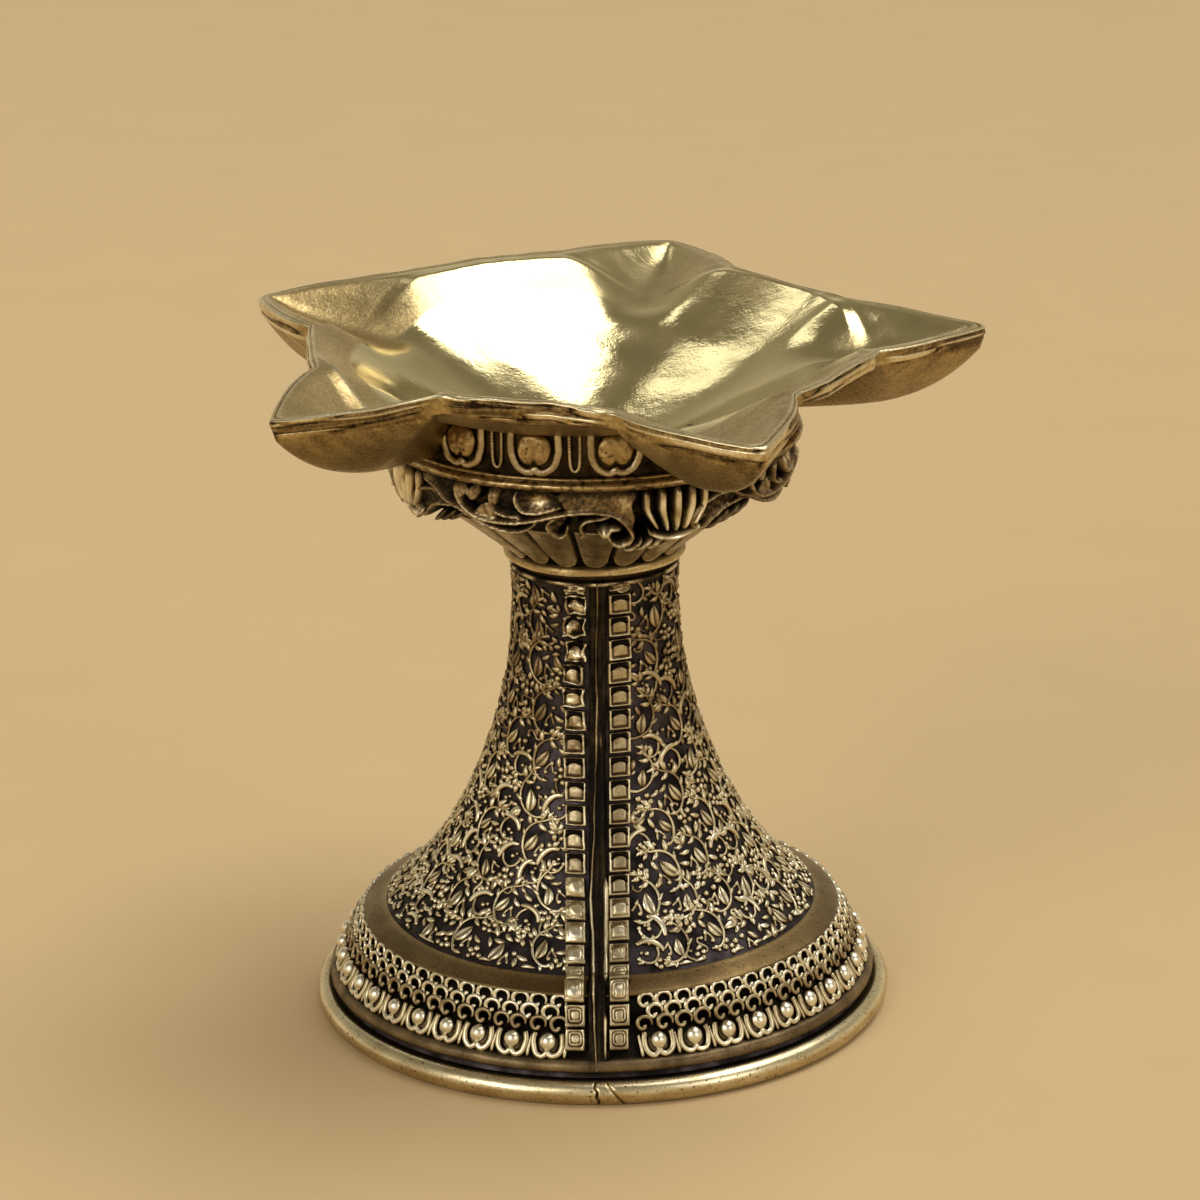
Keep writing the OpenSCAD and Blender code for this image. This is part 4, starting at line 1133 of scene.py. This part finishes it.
    # small leaves under the volute, and the first leaf of the scroll with its fingers
    for k in range(4):
        along, up = 1.5 * k, 0.1 * k
        ridge([(14.5 + along, 0.45 + up), (15.6 + along, 0.95 + up), (17.0 + along, 2.1 + 0.8 * up)],
              0.42, 1.5, 0.8, 0.5)
    web([(-16.8, 3.4), (-14.2, 4.9), (-11.2, 6.3), (-11.0, 7.3), (-13.4, 7.2), (-15.8, 6.6), (-17.4, 5.0)],
        1.0, 0.0, 0.1, 0.3, 0.4)
    ridge([(-11.2, 7.5), (-13.4, 7.4), (-15.8, 6.7), (-17.4, 5.1), (-17.0, 3.6), (-15.6, 3.2), (-14.0, 4.6),
           (-12.0, 5.6), (-8.6, 5.9)], 0.45, 1.7, 0.75)
    for k in range(3):
        along, up = 1.9 * k, 0.5 * k
        ridge([(-14.6 + along, 2.4 + up), (-13.0 + along, 3.2 + up), (-11.2 + along, 4.6 + 0.7 * up)],
              0.5, 1.3, 0.55)
    paintedShadeUnderMoulding = 1 - 0.7 * smooth(8.3, 9.8, y)     # painted shade under the moulding's overhang
    return h + np.where(h > 0.1, 0.08 * pitted, 0), bright * paintedShadeUnderMoulding


def makeScrolls():
    casting = Casting()
    span, count = frieze["halfSpan"], frieze["count"]
    xs = np.linspace(-span, span, int(2 * span / frieze["grid"]), endpoint=False)
    ys = np.linspace(0.0, apronLength, int(apronLength / frieze["grid"]))
    x, y = np.meshgrid(xs, ys)
    h, bright = scrollField(x, y)
    rooted = smooth(0, 0.25, y)
    h = h * rooted + frieze["bottom"] * (1 - rooted)
    middles = [frieze["middle"] + 360 / count * k for k in range(count)]
    angles = np.concatenate([middle + xs / span * 180 / count for middle in middles])
    a, s = np.meshgrid(angles, ys)
    outer = wrap(apronRail, a, s, np.tile(h, (1, count)))
    inner = ((24.3, zFrieze - 0.05), (20.3, zCup), (18.6, zCup - 1.2))
    verts = np.concatenate([outer, np.stack([roundAxis(rr, angles, zz) for rr, zz in inner])]).reshape(-1, 3)
    relief = np.tile(frieze["rubbed"] * bright * smooth(-0.3, 1.0, h), (1, count))
    casting.add(verts, gridFaces(len(ys) + len(inner), len(angles), True, True), overPatch(relief, verts))
    makePiece("acanthusScrolls", casting, "lamp_head", "satin_brass", antiqueMetal, "acanthus_scrolls")


makeScrolls()

# shells: five flat-topped ribs that spread upwards, over a smooth curved lip
shell = {"at": 21.1, "low": 2.3, "half": 5.2, "ribs": 5, "spread": 2.1, "narrow": 0.95}


def makeShells():
    casting = Casting()
    base, half, outerRib = shell["low"], shell["half"], (shell["ribs"] - 1) / 2
    xs, ys = np.linspace(-half, half, 96), np.linspace(base - 0.8, apronLength - 0.1, 60)
    x, y = np.meshgrid(xs, ys)
    rib = x / (shell["spread"] - shell["narrow"] * smooth(7.4, 3.2, y))
    near = rib - np.clip(np.round(rib), -outerRib, outerRib)
    fat = 0.2 + 0.12 * smooth(3.4, 5.4, y)
    h = -1.1 + 2.5 * np.clip(1 - (near / fat) ** 2, 0, 1) ** 0.35 + 0.8 * (1 - (x / half) ** 2)
    h = h - 0.8 * smooth(8.6, 9.9, y) - 0.5 * smooth(4.6, 3.4, y)
    rim = base + 0.1 * x ** 2
    h = h - 1.6 * smooth(rim + 1.5, rim + 0.8, y) - 3.0 * smooth(2.3, 2.55, np.abs(rib))
    lip = 1.7 - 0.9 * (np.abs(y - rim) / 0.42) ** 2 - 3.0 * smooth(3.5, 4.1, np.abs(x))
    h = np.maximum(np.maximum(h, lip) - 3.5 * smooth(rim - 0.2, rim - 0.6, y), -2.5)
    verts, faces = patch(xs, ys, h, -3.0)
    bright = smooth(0.2, 1.6, h) * (0.82 + 0.3 * noiseOf(x * 1.5 + 30, y * 0.8, 65))
    # darker towards the top, under the moulding: painted shade
    bright = bright * (1 - 0.6 * smooth(7.6, 9.6, y))
    for k in range(frieze["count"]):
        angle = frieze["middle"] + (shell["at"] / frieze["halfSpan"] * 180 + 360 * k) / frieze["count"]
        casting.add(lay(apronRail, verts, angle, 0.0), faces, overPatch(bright, verts))
    makePiece("shellMounts", casting, "lamp_head", "satin_brass", antiqueMetal, "shell_mounts")


makeShells()

# egg band: heart-shaped eggs in U frames, with looped darts between
eggs = {"radius": 28.2, "step": 22.0, "turn": -2.8, "frame": 0.56, "heart": 2.4, "heartDrawn": 2.15,
        "wire": 0.26, "bead": 0.27, "beadStep": 0.46}
heartHalf = [(0.0, 6.0), (1.55, 5.6), (2.2, 4.3), (2.1, 2.9), (1.5, 1.75), (0.7, 1.42), (0.0, 1.85)]
frameHalf = [(-3.2, 6.1), (-3.3, 4.4), (-3.1, 2.6), (-2.35, 1.15), (-1.15, 0.5), (-0.4, 0.6), (0, 0.95)]
dartHalf = [(-0.72, 6.0), (-0.7, 3.4), (-0.6, 1.7), (-0.35, 1.0), (0.0, 0.8)]


def makeEggs():
    rail = railOf([[eggs["radius"], zMoulding], [eggs["radius"], zSeat + 0.6]])[0]
    hearts, frames, darts, gen = Casting(), Casting(), Casting(), np.random.default_rng(17)
    for window in range(spoutCount):
        middle = spoutTurn + halfStep + eggs["turn"] + 2 * halfStep * window
        for k in (-1, 0, 1):
            angle = middle + k * eggs["step"] + gen.normal(0, 0.3)
            outline = mirrored(heartHalf)[:-1] * [eggs["heart"] / eggs["heartDrawn"], 1]
            outline = smoothPath(outline + gen.normal(0, 0.06, outline.shape), 44, True)
            verts, faces = dome(outline, 0.95, 10, 6.0, -0.2, (0, 3.6))
            dip = 0.3 * peak(verts[:, 0], 0, 0.3) * smooth(3.6, 1.8, verts[:, 1])
            pits = noiseOf(verts[:, 0] * 2.2 + 20, verts[:, 1] * 2.2 + 7 * k + 20, 66 + window)
            verts[:, 2] += np.where(verts[:, 2] > 0.2, 0.09 * pits - dip, 0)
            relief = np.clip(0.56 + 0.16 * pits - dip, 0, 1) * smooth(-0.15, 0.3, verts[:, 2])
            hearts.add(lay(rail, verts, angle, 0.0), faces, relief)
            path = smoothPath(mirrored(frameHalf), 46)
            verts, faces = tube(path + gen.normal(0, 0.03, path.shape), eggs["frame"], 0.3, 10, 0.8)
            frames.add(lay(rail, verts, angle, 0.0), faces, 0.6 * smooth(-0.1, 0.55, verts[:, 2]))
        for k in (-0.5, 0.5):
            angle = middle + k * eggs["step"]
            verts, faces = tube(smoothPath(mirrored(dartHalf), 26), eggs["wire"], 0.25)
            darts.add(lay(rail, verts, angle, 0.0), faces, 0.58 * smooth(-0.1, 0.4, verts[:, 2]))
            for up in np.arange(1.75, 6.0, eggs["beadStep"]):     # beading along one edge
                verts, faces = ball((-0.62, up), eggs["bead"], 2.0)
                darts.add(lay(rail, verts, angle, 0.0), faces, 0.7 * smooth(0.1, 0.5, verts[:, 2]))
    makePiece("eggHearts", hearts, "lamp_head", "satin_brass", satinMetal, "eggs")
    makePiece("eggFrames", frames, "lamp_head", "satin_brass", antiqueMetal, "egg_frames")
    makePiece("eggDarts", darts, "lamp_head", "satin_brass", antiqueMetal, "darts")


makeEggs()

# star bowl: buffed dish, five spouts, and a thick irregular lip that was bent by hand
# the four lists go round the axis in degrees: how far the rim was bent up and out in mm, how far the wheel
# reached past the dish, and where the lip is thicker
bowl = {"tip": 57.0, "rim": 39.3, "rimHalf": 12.0, "tipDrop": 1.3, "lip": 1.2, "lipThick": 2.6,
        "mouth": 22.0, "dishDeep": 10.0, "dishRound": 14.0, "underRound": 12.0, "wall": 1.6, "seat": 1.0,
        "band": 28.2, "bandWall": 0.8, "keelGap": 0.3, "keelDrop": 5.2, "keelCurve": 3.7, "keelSoft": 0.3,
        "keelRoot": 7.0, "buffed": 33.5, "sideBulge": 1.3, "perSpout": 120, "blend": 14.0,
        "bentUp": [(5, 0.2), (41, 0.2), (58, 0.8), (77, 1.3), (95, 1.7), (113, 1.9), (131, 1.5), (147, 0.4),
                   (168, 0.0), (185, 0.1), (202, 0.3), (221, 0.2), (232, 0.8), (240, 1.4), (250, 1.3),
                   (262, 1.0), (270, 0.6), (277, 0.0), (293, -0.4), (312, -0.5), (329, -0.6), (346, -0.3)],
        "bentOut": [(5, 0.0), (77, 0.0), (96, 1.4), (113, 2.4), (130, 1.8), (149, 0.0), (235, 0.0),
                    (252, -1.0), (268, -0.6), (280, 0.0)],
        "reached": [(40, 0.9), (58, 0.62), (128, 0.7), (142, 0.05), (340, 0.05), (352, 0.9)],
        "thicker": [(228, 0.0), (240, 1.0), (256, 0.7), (272, 0.2), (282, 0.0)]}


def makeBowl():
    tip, rim, band = bowl["tip"], bowl["rim"], bowl["band"]
    cornerR = math.hypot(rim, bowl["rimHalf"])
    cornerA = halfStep - math.degrees(math.atan2(bowl["rimHalf"], rim))
    sideRun = tip - cornerR * math.cos(math.radians(cornerA))
    sideA = math.degrees(math.atan2(sideRun, cornerR * math.sin(math.radians(cornerA))))
    sideD = tip * math.cos(math.radians(sideA))
    bandIn = band - bowl["bandWall"]
    zThroat = zSeat + bowl["seat"]
    zFloor = zThroat - bowl["dishDeep"] - bowl["seat"]

    def cos(degrees):
        return np.cos(np.radians(degrees))

    # the star's outline at an angle from the nearest spout, and the half angle of a spout at a radius
    def starR(a, inset):
        side = (sideD - inset) / cos(sideA - np.sqrt(a * a + 1))
        straight = np.maximum(side, (rim - inset) / cos(halfStep - np.abs(a)))
        return straight + bowl["sideBulge"] * np.sin(np.pi * np.clip(np.abs(a) / cornerA, 0, 1))

    halfTable = np.linspace(0, cornerA, 240)

    def spoutHalf(r, inset):
        return np.maximum(0.6, np.interp(r, starR(halfTable, inset)[::-1], halfTable[::-1]))

    def rimZ(r):
        return zRim - 0.3 - bowl["tipDrop"] * np.maximum(0, r - cornerR) / (tip - cornerR)

    # angles round the bowl, closer together along each spout
    per = bowl["perSpout"]
    u = (np.arange(per) + 0.5) / per * 2 - 1
    local = halfStep * np.sign(u) * np.abs(u) ** 1.35
    a = np.tile(local, spoutCount)
    turn = np.concatenate([spoutTurn + 2 * halfStep * k + local for k in range(spoutCount)])

    def atTurn(key):
        return np.interp(turn, *zip(*bowl[key]), period=360)

    bentUp, bentOut = atTurn("bentUp"), atTurn("bentOut")
    facet = np.exp(-((np.abs(a) - cornerA) / 2.4) ** 4)     # flat pinched by the bending
    rOut = starR(a, 0) + bentOut + 0.16 * ringNoise(turn, 40, 71) + 0.07 * ringNoise(turn, 120, 72)
    rOut = rOut - 0.3 * facet
    rIn = starR(a, bowl["lip"]) + bentOut + 0.1 * ringNoise(turn, 40, 73)
    zLip = rimZ(starR(a, 0)) + bentUp + 0.14 * ringNoise(turn, 30, 74) + 0.06 * ringNoise(turn, 110, 75)

    # the inside: a dish that rises to the rim, and a channel down each spout
    endR, mouthR = float(starR(np.array(0.0), bowl["lip"])), bowl["mouth"]

    def dishShare(r):
        k, edge = bowl["dishRound"], rim - bowl["lip"]
        return (np.hypot(np.minimum(r, edge), k) - k) / (math.hypot(edge, k) - k)

    def edgeZ(r):
        return zFloor + (rimZ(r) + bentUp * smooth(20, 38, r) - zFloor) * dishShare(r)

    zMouth, slope = edgeZ(mouthR), edgeZ(mouthR + 0.5) - edgeZ(mouthR - 0.5)

    def insideZ(r):
        edge = edgeZ(r)
        reach = endR - mouthR
        t = np.clip((r - mouthR) / reach, 0, 1)
        zEnd = float(rimZ(endR)) + bentUp
        spout = (2 * t ** 3 - 3 * t ** 2 + 1) * zMouth + (t ** 3 - 2 * t ** 2 + t) * slope * reach
        spout = spout + (3 * t ** 2 - 2 * t ** 3) * zEnd + (t ** 3 - t ** 2) * 0.5 * reach
        # leaves the dish without a kink
        w, drop = np.clip((r - mouthR) / bowl["blend"], 0, 1), spout - edge
        spout = edge + 0.5 * (drop - np.sqrt(drop * drop + 0.09)) * w ** 3 * (w * (6 * w - 15) + 10)
        x = np.minimum(1, np.abs(a) / spoutHalf(r, bowl["lip"]))
        # dents left by the hammer and the wheel
        px, py = r * cos(turn), r * np.sin(np.radians(turn))
        dents = 0.1 * np.sin(px / 3.4 + 1.0) * np.sin(py / 4.2 + 2.0) + 0.05 * np.sin((px + py) / 2.3 + 0.5)
        return spout + (edge - spout) * x * x * (3 - 2 * x) + dents * (1 - smooth(24, 34, r))

    # the underside: a flare under the rims and a rounded keel under each spout
    rootR, spreadR = band + bowl["keelGap"], band + 1.4
    tipR = float(starR(np.array(0.0), 0))
    keelRoot = bowl["keelRoot"]

    def underZ(r):
        flare = zSeat + (zRim - bowl["lipThick"] - zSeat) * (r - band) / (rim - band)
        flare = np.minimum(flare, rimZ(r) - bowl["lipThick"] + 0.3)
        t = np.clip((r - band) / (tipR - band), 0, 1)
        zKeel = zSeat - bowl["keelDrop"]
        keel = zKeel + (float(rimZ(tip)) - bowl["lipThick"] - zKeel) * t ** bowl["keelCurve"]
        root = keelRoot + (cornerA - keelRoot) * np.maximum(0, r - spreadR) / (cornerR - spreadR)
        half = np.where(r >= cornerR, spoutHalf(r, 0), root)
        lowest = np.minimum(keel, flare)
        x, k = np.minimum(1, np.abs(a) / half), bowl["keelSoft"]
        return lowest + (flare - lowest) * (np.hypot(x, k) - k) / (math.hypot(1, k) - k)

    verts, relief, polish = [], [], []

    def row(r, z, bright, shine=0.0):
        verts.append(roundAxis(r, turn, z))
        relief.append(np.broadcast_to(bright, turn.shape))
        polish.append(np.broadcast_to(shine, turn.shape))

    # dish and spouts: the wheel reached the dish, and beyond it on the right and patchily at the back
    reached = atTurn("reached")
    for f in np.linspace(0.02, 1, 26) ** 0.8:
        r = np.full(a.shape, f * bandIn)
        row(r, insideZ(r), 0.8, 1.0)
    onLeft = smooth(188, 200, turn % 360) * (1 - smooth(232, 240, turn % 360))
    for f in np.linspace(0.03, 1.0, 40):
        r = bandIn + f * (rIn - bandIn)
        crease = peak(r - 37.0 - 0.06 * np.abs(a), 0, 0.4) * onLeft
        z = insideZ(r) + f ** 4 * (zLip - rimZ(rIn) - bentUp)
        bright = 0.61 + 0.25 * crease + 0.03 * ringNoise(turn, 60, 82, r)
        patchy = reached * (1 + 0.6 * ringNoise(turn, 36, 85, r * 0.16))
        shine = np.maximum(1 - smooth(bowl["buffed"] - 0.5, bowl["buffed"] + 0.5, r), patchy)
        row(r, z + 0.16 * crease, bright, np.clip(shine, 0, 1))
    # lip: a line along its top that comes and goes, then a streaked and grooved face; the top and the raised
    # streaks are painted light and the cut line and the grooves dark, as painted highlight and painted shade
    line = np.clip(0.5 + 0.9 * ringNoise(turn, 34, 76), 0, 1)
    for f, dz, bright, cut in ((0.15, 0.06, 0.8, 0), (0.4, 0.09, 0.85, 0), (0.55, 0.03, 0.3, 1),
                               (0.7, 0.05, 0.75, 0), (0.88, -0.02, 0.92, 0), (0.98, -0.2, 0.9, 0)):
        shown = bright + (0.75 - bright) * (1 - line) * cut
        row(rIn + f * (rOut - rIn), zLip + dz - 0.22 * line * cut, shown)
    thick = bowl["lipThick"] - 0.5 + 0.8 * atTurn("thicker") + 0.25 * ringNoise(turn, 30, 78)
    for f in np.linspace(0.12, 1.0, 22):
        deep = f * thick
        streak = ringNoise(turn, 40, 79, deep * 2.3) * (1 - 0.8 * facet)
        groove = peak(streak, 0, 0.15) * (1 - facet)
        bulge = 0.1 * math.sin(math.pi * f) - 0.25 * f * f
        # painted highlight where a streak stands out, painted shade in the grooves
        bright = 0.6 + 0.45 * streak - 0.58 * groove + 0.12 * ringNoise(turn, 420, 80, deep * 2.2)
        row(rOut + bulge + 0.24 * streak - 0.16 * groove, zLip - deep, np.clip(bright, 0.04, 1))
    for f in np.linspace(0.985, 0.0, 42):
        r = rootR + f * (rOut - 0.3 - rootR)
        z = underZ(r) + f ** 3 * (zLip - thick - rimZ(rOut) + bowl["lipThick"] - 0.3)
        marks = ringNoise(turn, 300, 83, r * 0.35) * smooth(0.72, 0.95, f)
        row(r, z, np.clip(0.5 + 0.14 * marks + 0.04 * ringNoise(turn, 60, 84, r * 0.3), 0, 1))
    # seat on the egg band, kept under the dish, and the dish's underside
    for r in (band + bowl["keelGap"] / 2, bandIn - bowl["keelGap"] / 2):
        row(r, np.minimum(zSeat, insideZ(np.full(a.shape, r)) - 0.4), 0.1)
    k = bowl["underRound"]
    for r in (bandIn - bowl["keelGap"], 0.88 * bandIn, 0.66 * bandIn, 0.33 * bandIn, 0.5):
        share = (math.hypot(r, k) - k) / (math.hypot(bandIn, k) - k)
        row(r, zFloor + (zThroat - zFloor) * share - bowl["wall"], 0.2)

    casting = Casting()
    count, around = len(verts), len(turn)
    caps = [list(range(around)), list(range((count - 1) * around, count * around))]
    casting.add(np.concatenate(verts), gridFaces(count, around, False, True) + caps,
                np.concatenate(relief), np.concatenate(polish))
    makePiece("starBowl", casting, "lamp_head", "buffed_brass", buffedMetal, "star_bowl")


makeBowl()

# solids that stay as they are
dressed = {"pedestal_shell": flareGround, "egg_band": hollowGround, "frieze_ring": hollowGround,
           "neck_bush": satinMetal, "head_stud": satinMetal}
for node, metal in dressed.items():
    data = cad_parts[node].data
    data.materials.clear()
    data.materials.append(metal)
print("solids dressed")

# floor, light and camera
stage = {"paper": "#cfb68d", "paperShade": "#cdb48b", "cloud": 25.0, "floorSize": 6.0, "world": 1.32,
         "sky": [(0.0, "#d9c9a9"), (0.3, "#a39a84"), (0.65, "#7c7563"), (1.0, "#726b5a")]}


def makeFloor():
    half = stage["floorSize"] / 2
    mesh = bpy.data.meshes.new("paperFloor")
    corners = [(-half, -half, 0), (half, -half, 0), (half, half, 0), (-half, half, 0)]
    mesh.from_pydata(corners, [], [(0, 1, 2, 3)])
    floor = bpy.data.objects.new("paperFloor", mesh)
    bpy.context.collection.objects.link(floor)
    material = bpy.data.materials.new("uncoatedPaper")     # matt backdrop paper, a little cloudy
    material.use_nodes = True
    tree = material.node_tree
    shader = tree.nodes["Principled BSDF"]
    shader.inputs["Roughness"].default_value = 0.9
    place = addNode(tree, "ShaderNodeTexCoord").outputs["Object"]
    cloud = addNode(tree, noiseKind, {"Vector": place, "Scale": perMm(stage["cloud"]),
                                      "Detail": 6.0}).outputs["Fac"]
    colour = addNode(tree, rampKind, {"Fac": cloud}, [(0.3, stage["paperShade"]), (0.7, stage["paper"])])
    tree.links.new(colour.outputs["Color"], shader.inputs["Base Color"])
    mesh.materials.append(material)


def makeWorld():
    # a pale studio, brighter near the horizon
    world = bpy.data.worlds.new("studio")
    bpy.context.scene.world = world
    world.use_nodes = True
    tree = world.node_tree
    direction = addNode(tree, "ShaderNodeTexCoord").outputs["Generated"]
    up = addNode(tree, "ShaderNodeSeparateXYZ", {"Vector": direction}).outputs["Z"]
    sky = addNode(tree, rampKind, {"Fac": up}, stage["sky"])
    back = tree.nodes["Background"]
    tree.links.new(sky.outputs["Color"], back.inputs["Color"])
    back.inputs["Strength"].default_value = stage["world"]


lamps = {
    "overheadSoft": {"kind": "SUN", "at": (0.29, 0.15, 0.94), "angle": 45.0,
                     "power": 1.75, "tint": "#fffaf0"},
    "backStrip": {"kind": "AREA", "at": (-0.24, 0.50, 0.66), "size": (0.07, 0.28),
                  "power": 0.1, "tint": "#fffaf0"},
    "frontLeftSoft": {"kind": "AREA", "at": (-1.2, -1.4, 1.1), "size": (1.3, 1.0),
                      "power": 14.0, "tint": "#fff9ee"},
    "frontRightSoft": {"kind": "AREA", "at": (1.3, -1.2, 0.9), "size": (1.0, 0.8),
                       "power": 6.0, "tint": "#fff9ee"},
}
lampAim = Vector((0, 0, 0.07))


def makeLamps():
    for name, lamp in lamps.items():
        light = bpy.data.lights.new(name, lamp["kind"])
        if lamp["kind"] == "SUN":
            light.angle = math.radians(lamp["angle"])
        else:
            light.shape = "RECTANGLE"
            light.size, light.size_y = lamp["size"]
        light.energy = lamp["power"]
        light.color = linearOf(lamp["tint"])[:3]
        holder = bpy.data.objects.new(name, light)
        holder.location = lamp["at"]
        holder.rotation_euler = (lampAim - Vector(lamp["at"])).to_track_quat("-Z", "Y").to_euler()
        bpy.context.collection.objects.link(holder)


# fitted to the photograph: mm and degrees, with the focal length and the shift in pixels of its frame
camera = {"away": 585.9, "height": 255.7, "pitch": 18.49, "roll": -1.05, "focal": 4348.2, "shift": -4.8,
          "frame": 1200, "sensor": 36.0}


def makeCamera():
    data = bpy.data.cameras.new("photoCamera")
    data.sensor_width = data.sensor_height = camera["sensor"]
    data.sensor_fit = "HORIZONTAL"
    data.lens = camera["focal"] / camera["frame"] * camera["sensor"]
    data.shift_x = -camera["shift"] / camera["frame"]
    data.clip_start, data.clip_end = 0.01, 20
    holder = bpy.data.objects.new("photoCamera", data)
    place = Matrix.Translation((0, -camera["away"] * mm, camera["height"] * mm))
    tilt = Matrix.Rotation(math.radians(90 - camera["pitch"]), 4, "X")
    holder.matrix_world = place @ tilt @ Matrix.Rotation(math.radians(camera["roll"]), 4, "Z")
    bpy.context.collection.objects.link(holder)
    bpy.context.scene.camera = holder


makeFloor()
makeWorld()
makeLamps()
makeCamera()
bpy.context.scene.view_settings.view_transform = "Standard"
print("stage, lamps and camera set")
